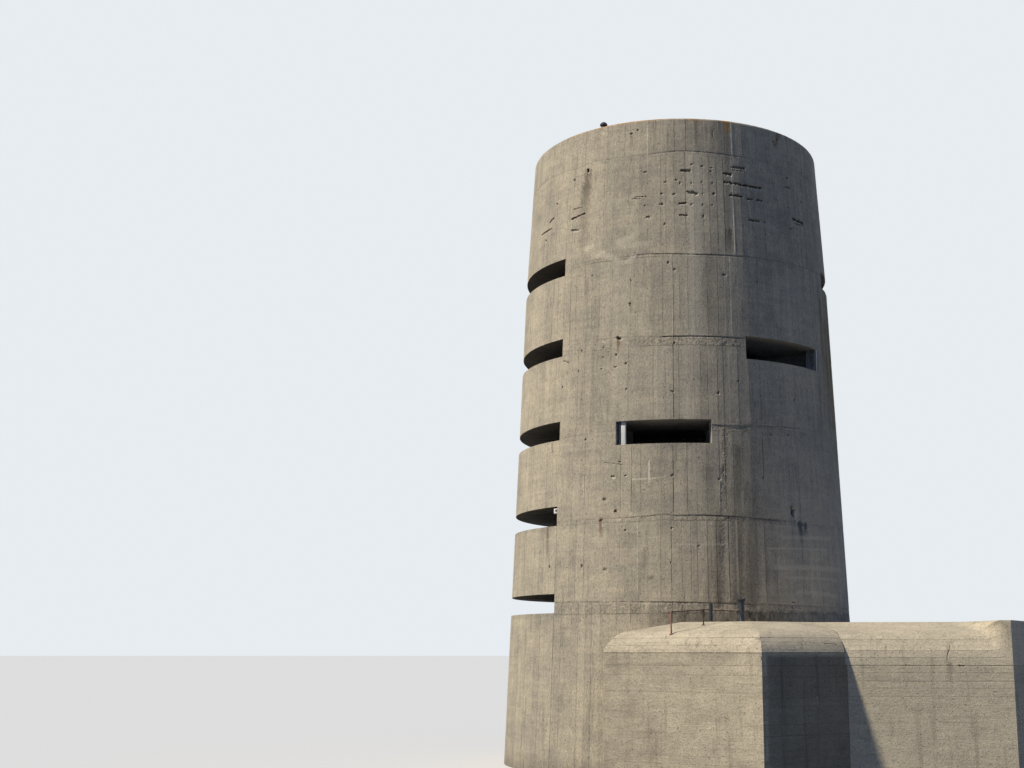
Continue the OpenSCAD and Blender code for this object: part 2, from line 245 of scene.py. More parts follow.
def wrapped(u):
    """An azimuth, brought between -180 and 180 degrees."""
    return (u + 180.0) % 360.0 - 180.0


def ramp(value, start, over):
    """0 up to a start, and 1 once it is passed by over, which is below zero where the ramp goes down."""
    return ((value - start) / over).clip(0, 1)


def grit(u, v, seed):
    """Smooth random numbers between 0 and 1 over a plane, about one lump to a unit."""
    i, j = np.floor(u), np.floor(v)
    f, g = u - i, v - j
    f, g = f * f * (3 - 2 * f), g * g * (3 - 2 * g)

    def corner(a, b):
        n = np.sin((i + a) * 12.9898 + (j + b) * 78.233 + seed * 37.719) * 43758.5453
        return n - np.floor(n)

    return ((corner(0, 0) * (1 - f) + corner(1, 0) * f) * (1 - g)
            + (corner(0, 1) * (1 - f) + corner(1, 1) * f) * g)


# Joints between the pours. The line of each was not quite level, so it is
# followed where it shows; notch is how deep the joint is open there.
joint_seen = {
    17.75: ((550, 179), (581, 167.5), (594, 162), (639, 155.4), (658, 153), (680, 150.7), (705, 152),
            (731, 155.5)),
    14.55: ((583, 262.5), (599, 258.7), (615, 258), (648, 253.7), (693, 254.3), (731, 255.5), (821, 276)),
    12.10: ((562, 346), (576, 344), (614, 337.5), (662, 336.5), (704, 336)),
    9.56: ((561, 433), (581, 428), (594, 425), (615, 424), (727, 426)),
    6.96: ((569, 521), (602, 519), (627, 517.5), (652, 515.6), (664, 514), (677, 515.6), (705, 515),
           (747, 517), (808, 524.5), (840, 527.7)),
    4.60: ((566, 602), (673.7, 602), (725.7, 603.4), (750, 604.3), (766, 603.9), (794, 605.3),
           (811, 606.3), (842, 608)),
}
# How far below and above a joint its sag dies away
joint_reach = {17.75: (0.3, 0.3), 14.55: (0.24, 0.3), 12.10: (0.3, 0.07), 9.56: (0.35, 0.12),
               6.96: (0.3, 0.3), 4.60: (0.24, 0.2)}
joint_notch = {
    17.75: ((545, 0.3), (600, 0.25), (655, 0.4), (675, 0.8), (735, 0.6), (760, 0.25), (815, 0.2)),
    14.55: ((560, 0.1), (600, 0.2), (645, 0.6), (655, 0.9), (731, 1.0), (745, 0.5), (821, 0.3)),
    12.10: ((562, 0.15), (610, 0.2), (655, 0.4), (675, 1.0), (734, 1.0), (745, 0.4), (817, 0.2)),
    9.56: ((561, 0.15), (615, 0.2), (712, 0.5), (745, 0.6), (760, 0.2), (835, 0.1)),
    6.96: ((569, 0.3), (655, 0.6), (705, 0.7), (714, 1.0), (780, 0.9), (790, 0.3), (840, 0.2)),
    4.60: ((562, 0.4), (640, 0.6), (663, 0.9), (710, 0.9), (760, 0.5), (840, 0.4)),
}
# The rough band under each joint: how far down it goes, and how rough it is along the view's columns
band_depth = {17.75: 0.0, 14.55: 0.07, 12.10: 0.26, 9.56: 0.17, 6.96: 0.12, 4.60: 0.29}
band_rough = {
    17.75: ((545, 0.0), (840, 0.0)),
    14.55: ((560, 0.1), (600, 0.7), (640, 0.6), (660, 0.2), (840, 0.1)),
    12.10: ((562, 0.35), (640, 0.4), (675, 0.9), (734, 0.9), (745, 0.2), (840, 0.1)),
    9.56: ((561, 0.3), (615, 0.25), (712, 0.9), (743, 0.9), (755, 0.2), (840, 0.1)),
    6.96: ((569, 0.4), (655, 0.5), (714, 0.9), (780, 0.9), (790, 0.3), (840, 0.3)),
    4.60: ((562, 0.6), (655, 0.8), (665, 1.0), (705, 1.0), (740, 0.8), (840, 0.7)),
}


# The row in which the shaft shows a height of 3.3 m, and its pixels to a metre
level_row, level_z, metre_px = 651, 3.3, 36.0


def followed(pairs, z, azimuths):
    """Values given by the view's columns, read at azimuths round the shaft."""
    row = level_row - (z - level_z) * metre_px
    known = sorted((seen_at(px, row)[0], value) for px, value in pairs)
    return np.interp(wrapped(azimuths), [a for a, _ in known], [v for _, v in known])


joint_sag = {z: sorted((seen_at(px, py)[0], seen_at(px, py)[1] - z) for px, py in line)
             for z, line in joint_seen.items()}
# The azimuth from which the joints are level, out of sight
level_from = 120.0


def settle(u, v):
    """How far the pours' joints stand off the level at an azimuth and a height."""
    off = np.zeros_like(u)
    for z, sag in joint_sag.items():
        below, above = joint_reach[z]
        line = np.interp(wrapped(u), [a for a, _ in sag] + [level_from], [s for _, s in sag] + [0.0])
        hold = np.where(v < z, 1 - (z - v) / below, 1 - (v - z) / above).clip(0, 1)
        off += line * hold
    return off


# Marks of long weathering, with bands of painted light and shade among them, each given
# where it is seen, as columns and rows of the view. Spalls are round holes: place, half width
# and half height. Gashes have two ends, half a width, and how deep they go in metres.
spalls = (
    (631.3, 133.7, 1.5, 1.3), (637.7, 130, 1.2, 1.1), (777.4, 139.4, 1.6, 2.0), (645.3, 172, 1.9, 1.0),
    (641.5, 171, 1.0, 0.7), (556.7, 204, 1.6, 1.2), (574.3, 180, 1.2, 1.8), (545.6, 241, 1.6, 1.2),
    (692, 164, 1.6, 1.1), (702, 166, 1.6, 0.9), (711, 167.5, 1.3, 0.8), (711, 171, 1.4, 0.8),
    (665, 182, 1.8, 1.0), (676, 180, 1.7, 1.0), (680, 183, 1.3, 1.3), (691.5, 183, 1.0, 1.0),
    (702, 182, 1.0, 1.1), (712.4, 183, 1.2, 1.1), (674, 194, 1.6, 1.0), (661.5, 193.5, 1.2, 0.9),
    (714, 193.6, 1.7, 1.6), (702.6, 193.6, 0.9, 1.0), (662, 204, 2.0, 1.4), (691.5, 204, 1.3, 1.2),
    (703, 204.5, 1.0, 1.4), (712.4, 205, 0.9, 1.0), (703.5, 216, 0.9, 1.6), (664.6, 224, 1.1, 1.4),
    (724.5, 275, 2.0, 1.3), (668.4, 262.5, 1.2, 1.2), (674.4, 269.5, 1.2, 1.2), (757.7, 281.7, 0.9, 1.5),
    (765.3, 222, 1.3, 1.0), (766, 234, 1.1, 1.6), (775, 225, 0.8, 1.2), (783, 227, 0.9, 1.0),
    (791.5, 229, 2.0, 1.0), (787.7, 178, 1.5, 0.8), (789, 207, 0.9, 1.0), (801, 202, 0.8, 1.8),
    (813.5, 209, 0.9, 1.0), (660, 204, 1.0, 0.7), (648, 217, 2.2, 1.4), (645, 205.5, 1.2, 0.9),
    (591.7, 276, 1.0, 1.2), (631, 280, 1.3, 1.3), (630, 304, 1.2, 1.6), (581.5, 351, 1.1, 1.4),
    (602.5, 357, 1.4, 0.9), (603.4, 347.6, 1.1, 0.9), (578, 371.5, 0.9, 1.6), (601, 369, 1.3, 0.8),
    (615.7, 355, 1.5, 1.1), (615, 367, 1.6, 0.8), (626, 363.5, 1.7, 1.3), (626, 389, 1.1, 1.1),
    (672.7, 391.5, 2.0, 1.0), (674.5, 343, 1.0, 1.0), (562, 387, 1.0, 0.9), (718.5, 393, 1.4, 1.4),
    (761, 396, 0.9, 1.1), (738.5, 381, 1.1, 0.9), (795, 400, 0.9, 1.8), (771.7, 434, 1.2, 1.4),
    (789, 434.7, 1.6, 1.2), (585.4, 439.5, 1.1, 1.4), (619.4, 462, 1.2, 1.2), (612.8, 476.5, 2.2, 1.0),
    (625.5, 475.5, 1.1, 1.0), (672, 475.5, 1.7, 1.0), (720, 478.7, 1.5, 1.4), (763.6, 478, 0.8, 1.8),
    (604.5, 499.6, 2.2, 1.7), (615.3, 511.8, 1.9, 1.2), (600.4, 520.7, 1.8, 1.2), (625, 530, 1.2, 1.0),
    (671.5, 528.5, 1.2, 1.0), (698.7, 546, 1.2, 1.0), (670.8, 562.5, 1.3, 0.9), (605, 570, 1.9, 1.8),
    (581.5, 566, 1.1, 1.6), (549, 566, 0.8, 2.2), (794, 602.5, 1.6, 0.8), (793, 608, 1.4, 1.4),
)
gashes = (
    (681.5, 170.4, 689.6, 170.2, 1.2, 0.055), (549.5, 222.5, 553.5, 218, 0.8, 0.03),
    (541.4, 235, 551, 228.7, 0.7, 0.035), (571.5, 219, 584.5, 213.4, 0.75, 0.045),
    (573.5, 209.6, 581.5, 207.2, 0.5, 0.02), (571, 230.4, 578, 230.2, 0.8, 0.03),
    (688, 191.8, 693, 193, 1.2, 0.045), (692.5, 191.6, 696.6, 193.6, 1.2, 0.05),
    (679.5, 203.4, 686, 202.8, 0.9, 0.045), (679.5, 214.8, 687, 215.2, 0.8, 0.04),
    (732.5, 167.2, 745, 168.2, 1.15, 0.04), (724.8, 173.4, 731, 174.2, 1.5, 0.04),
    (724.5, 181.8, 741, 184.2, 1.1, 0.045), (741, 184.6, 761.5, 188.4, 1.2, 0.05),
    (730.5, 194.8, 742, 196.4, 1.25, 0.04), (748, 198.6, 753, 199.2, 1.2, 0.035),
    (757.5, 199.8, 762, 200.8, 1.1, 0.035), (749.8, 219.8, 759.5, 221.0, 1.2, 0.035),
    (793.5, 218.8, 803.5, 223.6, 1.3, 0.05), (786.0, 186.8, 790.8, 188.6, 0.9, 0.03),
    (733, 169.8, 743, 171.0, 0.7, 0.02), (796, 223.6, 804, 226.2, 0.7, 0.02),
    (746, 425.6, 800, 428.6, 0.5, 0.012), (635, 197, 646, 196.6, 0.55, 0.02),
    (632, 199, 640, 198.6, 0.4, 0.015), (656.2, 143.8, 661, 144.4, 0.4, 0.012),
    (773.5, 141, 775.5, 146, 0.8, 0.03), (603.6, 462.6, 623.6, 464.8, 0.35, 0.01),
    (563, 361, 568.5, 362.5, 0.8, 0.02), (551.6, 444, 552, 452, 0.5, 0.015),
    (793.2, 509.2, 793.4, 514.6, 2.3, 0.12), (587.6, 169.4, 588.4, 172, 1.0, 0.10),
    (617.6, 337.6, 619.4, 339, 1.3, 0.09), (712.6, 131, 712.9, 137, 0.5, 0.01),
    (804, 590, 804.4, 598, 0.5, 0.012),
)
# Brown and black streaks, what runs down from the open holes, and bands of painted shade
# along the shadow's edge: two ends, half width, strength
runs = (
    (588, 173, 587, 206, 4.4, 0.62, 0.10), (586.5, 186, 582, 236, 6.4, 0.52, 0.06),
    (584, 224, 583, 266, 6.6, 0.26, 0.03), (729.8, 230, 730.2, 254, 2.6, 0.7, 0.0),
    (618.4, 340, 617.6, 352, 1.6, 0.5, 0.7), (631.4, 136, 632.2, 147, 0.9, 0.0, 0.6),
    (776.5, 142, 777, 150, 0.9, 0.1, 0.8), (747.6, 512, 747.2, 514, 0.5, 0.2, 0.2),
    (547.2, 527, 547, 558, 2.0, 0.42, 0.50), (794.0, 516, 795.4, 527, 1.4, 0.9, 0.3),
    (800.4, 523.6, 802, 541, 2.8, 1.5, 0.0), (806.0, 524.6, 805.4, 535, 2.0, 1.2, 0.0),
    # Painted shade: the bands at columns 709 to 751 that start at the end of this line and fill the next
    # two lines darken the face along the shadow's edge.
    (798.6, 524.6, 807, 525.4, 1.3, 1.2, 0.0), (739, 430, 738, 590, 5.5, 0.50, 0.0),
    (739, 602, 739, 445, 6.0, 0.55, 0.0), (751, 600, 751, 440, 8.0, 0.46, 0.0),
    (719, 602, 719, 505, 6.0, 0.58, 0.0), (709, 602, 709, 550, 4.0, 0.38, 0.0),
    # Painted shade: the bands near column 728 that run from view row 121 down to 254, at the end of this
    # line and in other lines of this table, darken the face along the shadow's edge high on the shaft.
    (615.4, 510.4, 616.6, 513.4, 1.5, 0.1, 1.0), (727.2, 121, 728.2, 254, 3.1, 0.46, 0.0),
    (695, 122, 697, 146, 1.4, 0.35, 0.1), (706, 124, 706.6, 140, 1.0, 0.4, 0.0),
    (726, 517.6, 760, 519, 1.8, 0.6, 0.0), (756, 519, 792, 521.6, 1.6, 0.5, 0.0),
    (745, 250, 746, 330, 3.5, 0.22, 0.0), (712, 300, 713, 334, 5.0, 0.12, 0.0),
    (708, 470, 709, 505, 5.5, 0.24, 0.0), (803, 538, 803.2, 567, 0.6, 0.6, 0.0),
    (600.2, 519.6, 600.6, 536, 1.6, 0.15, 1.0), (630, 302, 630.6, 312, 1.6, 0.0, 0.5),
    (712.6, 128, 714, 152, 2.4, 0.25, 0.2), (726, 196, 727, 231, 2.6, 0.28, 0.0),
    (727, 231, 728, 253, 2.8, 0.5, 0.0), (676, 444, 674, 480, 1.4, 0.15, 0.2),
    (820, 300, 826, 410, 3.0, 0.1, 0.6), (560, 346, 559, 372, 1.6, 0.1, 0.1),
    (718, 521, 728, 538, 2.6, 0.3, 0.1), (651, 578, 652.4, 580, 3.2, 0.35, 0.1),
    (567, 199, 566, 214, 1.2, 0.1, 0.3), (779, 131, 776, 147, 3.4, 0.1, 0.75),
    (787, 133, 786, 143, 2.0, 0.1, 0.5),
)
# Lime, filler and bare aggregate, and broad bands of painted light: two ends, half width, strength
pales = (
    (649, 461, 649, 481.5, 0.85, 1.3), (632.5, 479.4, 655.5, 478, 0.75, 1.0),
    (731.7, 121, 735, 254, 0.8, 0.9), (655.5, 478, 672, 474.6, 0.6, 0.5),
    (737.5, 428, 738.5, 442, 3.6, 0.35), (647.5, 128, 647.5, 170, 0.6, 0.5),
    (602.8, 341.6, 604.6, 342, 1.2, 0.8), (619, 336.6, 619.8, 337.4, 0.6, 0.9),
    (612, 477.8, 614.6, 478.4, 0.8, 0.9), (601.6, 521, 602, 526, 0.7, 0.9),
    (683, 204.8, 685.6, 204.6, 0.6, 0.8), (694, 194.8, 697.6, 193.8, 0.8, 0.9),
    (675, 225, 675.2, 225.4, 0.8, 0.9), (726, 276.4, 727, 274, 0.7, 0.7),
    (574, 232, 580, 230.4, 0.9, 0.75), (609.6, 550, 635, 549.4, 0.8, 0.32),
    (640, 546, 646.6, 545.6, 0.8, 0.4), (586, 249, 592, 246, 3.0, 0.65), (597, 256, 602, 252, 2.6, 0.55),
    (626, 262, 634, 256, 2.6, 0.55), (618, 242, 632, 236, 3.6, 0.38), (640, 196, 612, 201, 3.0, 0.2),
    (750.2, 386, 750.6, 389, 0.5, 0.7), (736, 520, 738, 594, 0.7, 0.4), (742, 492, 743, 512, 0.6, 0.4),
    (720, 478, 720.4, 511, 0.6, 0.45), (734, 168.5, 743, 169.4, 0.8, 0.4),
    (711, 522.4, 711.6, 524, 0.7, 0.7), (728.5, 345, 730.6, 402, 0.8, 0.3),
    # Painted light: the broad band near column 694 at the end of this line and the three on the next line.
    (588, 177, 590, 181, 1.2, 0.35), (621, 246, 650, 243, 3.0, 0.42), (694, 160, 694, 250, 9.0, 0.46),
    (694, 260, 694, 332, 9.0, 0.40), (692, 346, 690, 412, 9.0, 0.32), (694, 452, 692, 478, 8.0, 0.26),
    (784, 537, 830, 539, 2.0, 0.42), (770, 548.5, 827, 550, 1.0, 0.55), (776, 567, 841, 570, 2.4, 0.48),
    # Painted light: the broad bands at columns 622 to 662 and 792, from the end of this line through the
    # next.
    (788, 577, 837, 580, 1.4, 0.40), (676, 544.6, 728, 544, 0.6, 0.40), (622, 268, 622, 330, 17, 0.16),
    (628, 350, 626, 412, 18, 0.16), (662, 350, 662, 412, 8, 0.30), (792, 284, 792, 330, 18, 0.22),
    (812, 545, 812, 590, 1.2, 0.35), (798, 592, 838, 596, 2.0, 0.35), (595, 520, 640, 519, 1.0, 0.25),
    (604, 602, 660, 604, 1.0, 0.3), (673, 280, 672.6, 330, 0.5, 0.4), (730.8, 262, 731, 332, 0.7, 0.35),
    (637, 520, 637.6, 594, 0.6, 0.25), (604, 255, 622, 262, 3.4, 0.48),
)
# Orange lichen on the rim: two ends, half width, strength
lichens = (
    (598, 127, 641, 120.4, 1.5, 1.0), (641, 120.4, 720, 118.2, 1.2, 0.95),
    (722, 119.6, 731, 121, 3.2, 1.0), (725.5, 122, 727, 129, 2.2, 0.85),
    (570, 137.4, 598, 128, 1.0, 0.6), (688, 119, 700, 120, 2.0, 0.6),
)
# Ragged seams between boards, where the face has broken to its aggregate
ragged = (
    (725.4, 430, 724.6, 470, 2.2, 1.0), (724.6, 470, 722.4, 512, 2.4, 1.1),
    (722.4, 522, 721.4, 560, 2.0, 1.0), (716, 424.6, 744, 427.4, 1.2, 0.8),
    (729, 262, 730, 300, 0.9, 0.5), (664, 350, 664.6, 412, 0.8, 0.4),
)
# The face's mean radius, and metres along it to a degree there
mean_r = 5.0
arc = math.radians(1.0) * mean_r


def laid(ends):
    """A mark's two ends in metres along and up the face, its half width in metres, and the rest."""
    (a, low), (b, high) = seen_at(ends[0], ends[1]), seen_at(ends[2], ends[3])
    return (a * arc, low, b * arc, high, ends[4] / metre_px, *ends[5:])


def all_laid(lay, gashes=(), runs=(), pales=(), lichens=(), ragged=()):
    """Marks of every kind, laid on a face from where the view shows them."""
    kinds = {"gashes": gashes, "runs": runs, "pales": pales, "lichens": lichens, "ragged": ragged}
    return {kind: [lay(mark) for mark in marks] for kind, marks in kinds.items()}


def hole(x, y, w, h):
    """A spall as a short gash: a place in the view, with its half width and half height."""
    aside, upward = max(w - h, 0), max(h - w, 0)
    return x - aside, y - upward, x + aside, y + upward, 0.82 * min(w, h), 0.028


shaft_marks = all_laid(laid, (*gashes, *(hole(*spall) for spall in spalls)), runs, pales, lichens, ragged)


def around(u):
    """Metres along the face for an azimuth."""
    return wrapped(u) * arc


def nearness(x, z, mark, wander):
    """Distance from a mark's middle line in half widths, with a ragged edge, and the share along it."""
    ax, az, bx, bz, half = mark[:5]
    run = (bx - ax) ** 2 + (bz - az) ** 2 + 1e-9
    along = (((x - ax) * (bx - ax) + (z - az) * (bz - az)) / run).clip(0, 1)
    off = np.hypot(x - ax - along * (bx - ax), z - az - along * (bz - az)) / half
    return off + wander * (grit(x * 38, z * 38, 5) - 0.5) * 2, along


def edged(off, reach, steep):
    """1 within a mark and 0 from a reach in half widths, with an edge between that may be steep."""
    return ((reach - off) * steep).clip(0, 1)


def marks_on(x, z, marks):
    """What the marks do to a face: how far they sink it, and their dark, pale, rust and lichen."""
    sink, dark, pale, rust, lichen = (np.zeros_like(x) for _ in range(5))
    for mark in marks["gashes"]:
        ax, az, bx, bz, half, deep = mark
        around_it = 3 * half + 0.03
        near = (np.abs(x - (ax + bx) / 2) < abs(bx - ax) / 2 + around_it) & (
            np.abs(z - (az + bz) / 2) < abs(bz - az) / 2 + around_it)
        if near.any():
            off, _ = nearness(x[near], z[near], mark, 0.75)
            cut = edged(off, 1.25, 1.6)
            sink[near] = np.maximum(sink[near], deep * cut)
            # Inside a gash: darkened, partly its broken face and partly painted shade in the hollow.
            dark[near] = np.maximum(dark[near], (0.42 + 9 * deep) * cut)
            # A pale rim on the gash's lower right: broken concrete, and a painted highlight on the side
            # facing the light.
            off, _ = nearness(x[near] - 0.7 * half, z[near] + 0.6 * half, mark, 0.6)
            chipped = edged(off, 1.7, 1.6) * (1 - cut)
            pale[near] = np.maximum(pale[near], 12 * deep * chipped)
    for mark in marks["runs"]:
        off, along = nearness(x, z, mark, 0.5)
        show = (1.6 - 1.1 * off).clip(0, 1) * (1 - 0.75 * along)
        dark = np.maximum(dark, mark[5] * show)
        rust = np.maximum(rust, mark[6] * show)
    for mark in marks["pales"]:
        off, _ = nearness(x, z, mark, 0.6)
        pale = np.maximum(pale, mark[5] * edged(off, 1.3, 1.4))
    for mark in marks["lichens"]:
        off, _ = nearness(x, z, mark, 0.8)
        lichen = np.maximum(lichen, mark[5] * edged(off, 1.4, 1.2))
    return sink, dark, pale, rust, lichen


def worked_near(x0, x1, z0, z1, marks):
    """Which cells of a lattice a mark touches, and so are worked finely."""
    hit = np.zeros(np.broadcast(x0, z0).shape, bool)
    for mark in sum(marks.values(), []):
        ax, az, bx, bz, half = mark[:5]
        pad = 1.6 * half
        left, right = min(ax, bx) - pad, max(ax, bx) + pad
        low, high = min(az, bz) - pad - 0.03, max(az, bz) + pad + 0.03
        hit |= (x1 > left) & (x0 < right) & (z1 > low) & (z0 < high)
    return hit


# Board lines that stand out, pour by pour: the rows between which most show,
# and for each its column and how dark it is, or below zero how bright, with
# its own top and bottom row where they are others.
board_lines = {
    "parapet": (119, 151, (
        (647.5, -0.5, 122, 155), (660.7, 0.25, 120, 152), (674, 0.3), (685.6, 0.85), (703.5, 0.35),
        (717.5, 0.4, 120, 153), (724.5, 0.5, 120, 154), (731.6, -0.8, 121, 155), (742, 0.3, 122, 158),
        (600, 0.2, 130, 160), (617, 0.25, 124, 158))),
    "head": (170, 250, (
        (573, 0.5), (647.5, -0.5, 156, 172), (660.7, 0.35, 160, 250), (665.8, 0.25, 160, 245),
        (674, 0.45, 156, 230), (685.6, 0.9, 152, 230), (694.5, 0.45, 165, 252), (703.5, 0.5, 160, 252),
        (709.6, 0.3), (717.5, 0.7, 160, 252), (724.6, 0.8, 160, 253), (733.4, -1.0, 157, 254),
        (742, 0.3, 170, 255), (752, 0.2, 170, 258), (764, 0.25, 165, 258), (597, 0.2),
        (629, 0.25, 165, 250), (638, 0.15), (553, 0.15, 190, 255), (790, 0.2, 170, 262))),
    "fourth": (262, 330, (
        (591.8, 0.35, 268, 330), (610, 0.2), (630.4, 0.55, 280, 335), (638, 0.2), (651, 0.3),
        (662.5, 0.2), (672.8, -0.6, 262, 335), (680, 0.25, 270, 330), (688, 0.3),
        (695.2, 0.35, 262, 332), (707.8, 0.45, 262, 332), (718.4, 0.75, 258, 335), (724.6, 0.3),
        (730.8, -0.6, 258, 335), (737.7, 0.25, 270, 335), (757, 0.5, 260, 285), (766, 0.2), (780, 0.2),
        (792, 0.65, 278, 336), (576, 0.25, 270, 335))),
    "third": (350, 415, (
        (584, 0.25), (597, 0.2), (606, 0.3), (618, 0.25), (628, 0.7, 345, 415), (637, 0.2), (645.4, 0.2),
        (653, 0.35), (658, 0.3), (666, 0.35), (673.4, 0.75, 345, 417), (679, 0.3), (689, 0.35),
        (694.4, 0.5), (701, 0.45), (708, 0.5), (718, 0.8, 345, 415), (724, 0.4), (729.8, -0.5, 345, 420),
        (738.5, 0.35, 350, 420), (750, 0.2, 365, 420), (761, 0.25, 365, 420), (774, 0.2, 370, 420),
        (786, 0.25, 372, 420), (796, 0.4, 375, 425), (570, 0.2, 350, 425))),
    "second": (440, 515, (
        (552, 0.3, 440, 500), (572, 0.2), (584.6, 0.45, 435, 512), (596, 0.2, 440, 512),
        (620.4, 0.5, 446, 512), (631.3, 0.65, 446, 512), (640.8, 0.6, 446, 512), (650, 0.15, 450, 512),
        (661, 0.25, 448, 512), (673.4, 1.0, 445, 512), (687.4, 0.95, 445, 512), (697, 0.25, 448, 512),
        (707, 0.3, 448, 512), (720, -0.7, 478, 511), (725.8, 0.65, 430, 512), (734, 0.35, 430, 512),
        (742.8, -0.45, 430, 512), (752, 0.2, 435, 512), (763.4, 0.85, 436, 478), (776, 0.2, 440, 512),
        (787, 0.2), (799, 0.75, 436, 515), (812, 0.2), (824, 0.2))),
    "first": (520, 598, (
        (583.3, 0.45, 528, 598), (595.4, 0.2, 528, 598), (606.8, 0.25, 528, 598),
        (619.4, 0.35, 525, 598), (625, 0.4, 525, 598), (637.2, -0.35, 525, 598), (648, 0.3, 525, 598),
        (660.7, 0.35, 525, 598), (671.6, 0.65), (682.2, 0.5), (691.5, 0.6), (697.8, 0.45), (707.9, 0.5),
        (717, 0.5), (729.6, 0.85, 522, 598), (738, -0.7, 520, 594), (750, 0.2, 530, 598),
        (766, 0.75, 526, 603), (777, 0.25, 530, 600), (788, 0.2, 530, 600), (803.4, 0.6, 535, 600),
        (816, 0.2, 535, 600), (830, 0.45, 535, 602))),
    "base": (606, 622, (
        (571, 0.3), (585, 0.2), (600, 0.3), (616, 0.3), (630.6, 0.7, 603, 622), (640, 0.7, 603, 622),
        (650, 0.35), (661, 0.3), (672.7, 0.7, 603, 622), (682, 0.3), (692.5, 0.6, 603, 622),
        (703.3, 0.6, 603, 622), (716, 0.3), (728, 0.4), (750, 0.3), (794, 0.5, 600, 622))),
}
# Half the width of a joint's groove and a board's width, in degrees round the shaft
groove, board_width = 0.16, 3.2


class Boards:
    """The boards of one piece's shuttering: their joints, how strongly each shows, and their prints.
    A joint lies at one place across the boards and shows from low to high along them."""

    # Where the lattice meets a joint, in half widths of its groove, and how much of a joint shows beyond
    # its low and high
    lips = (-1.8, -1, 0, 1, 1.8)
    faint = 0.22

    def __init__(self, joints, half, luck):
        self.at, self.strength, self.low, self.high = (np.array(column, float) for column in zip(*joints))
        self.half = half
        self.print = luck.uniform(0, 1, (len(joints) + 1, 3))

    def lines(self, step):
        """Lines of a lattice across the boards: the lips and bottom of each joint, and some between."""
        lines = [self.at[0], self.at[0] + self.half]
        for left, right in zip(self.at, self.at[1:]):
            parts = max(1, round((right - left) / step))
            lines += [left + (right - left) * n / parts for n in range(1, parts)]
            lines += [right + far * self.half for far in self.lips]
        return lines[:-2]

    def joint_at(self, across, along):
        """Signed strength of the board joint at a point of the face."""
        right = np.searchsorted(self.at, across).clip(1, len(self.at) - 1)
        nearest = np.where(self.at[right] - across < across - self.at[right - 1], right, right - 1)
        weight = (1 - np.abs(across - self.at[nearest]) / self.half).clip(0, 1)
        shown = np.where((along > self.low[nearest]) & (along < self.high[nearest]), 1.0, self.faint)
        ragged = 0.55 + 0.9 * grit(along * 5.0, self.at[nearest] * 3.7, 3)
        return self.strength[nearest] * weight * shown * ragged

    def flat(self, across, radius, lean):
        """How far a board's flat face lies inside the round wall; it may lean a little to one side."""
        right = np.searchsorted(self.at, across).clip(1, len(self.at) - 1)
        half = (self.at[right] - self.at[right - 1]) / 2
        off = across - self.at[right - 1] - half
        chord = radius * (1 - np.cos(np.radians(half)) / np.cos(np.radians(off.clip(-half, half))))
        return chord + lean * (2 * self.print[right, 2] - 1) * (off / half).clip(-1, 1)

    def board_at(self, across, column):
        """A board's own random number at a point of the face."""
        return self.print[np.searchsorted(self.at, across).clip(0, len(self.print) - 1), column]


def upright_boards(lines, a0, a1, low, high, seed):
    """Boards that stand round a stretch of the shaft. The joints that stand out are where they are seen,
    but neither on each other nor on the stretch's ends."""
    luck = np.random.default_rng(seed)
    margin, apart, end_strength = 0.9, 0.75, 0.25
    known = []
    for px, strength, *rows in lines[2]:
        top, bottom = rows or lines[:2]
        azimuth, _ = seen_at(px, (top + bottom) / 2)
        if a0 + margin < azimuth < a1 - margin:
            known.append((azimuth, strength, seen_at(px, bottom)[1], seen_at(px, top)[1]))
    kept = []
    for line in sorted(known):
        if kept and line[0] - kept[-1][0] < apart:
            if abs(line[1]) > abs(kept[-1][1]):
                kept[-1] = line
        else:
            kept.append(line)
    joints = [(a0, end_strength, low, high)]
    for line in kept + [(a1, end_strength, low, high)]:
        left = joints[-1][0]
        between = max(1, round((line[0] - left) / board_width))
        for n in range(1, between):
            at = left + (line[0] - left) * (n + luck.uniform(-0.14, 0.14)) / between
            joints.append((at, luck.choice([0.14, 0.22, 0.30, 0.40, -0.2]), low - 1, high + 1))
        joints.append(line)
    return Boards(joints, groove, luck)


def pierced(u, v, gaps):
    """Which points of a layer are solid: all outside its openings, each given as limits along and up."""
    whole = np.ones(u.shape, bool)
    for left, right, sill, head in gaps:
        whole &= ~((u > left) & (u < right) & (v > sill) & (v < head))
    return whole


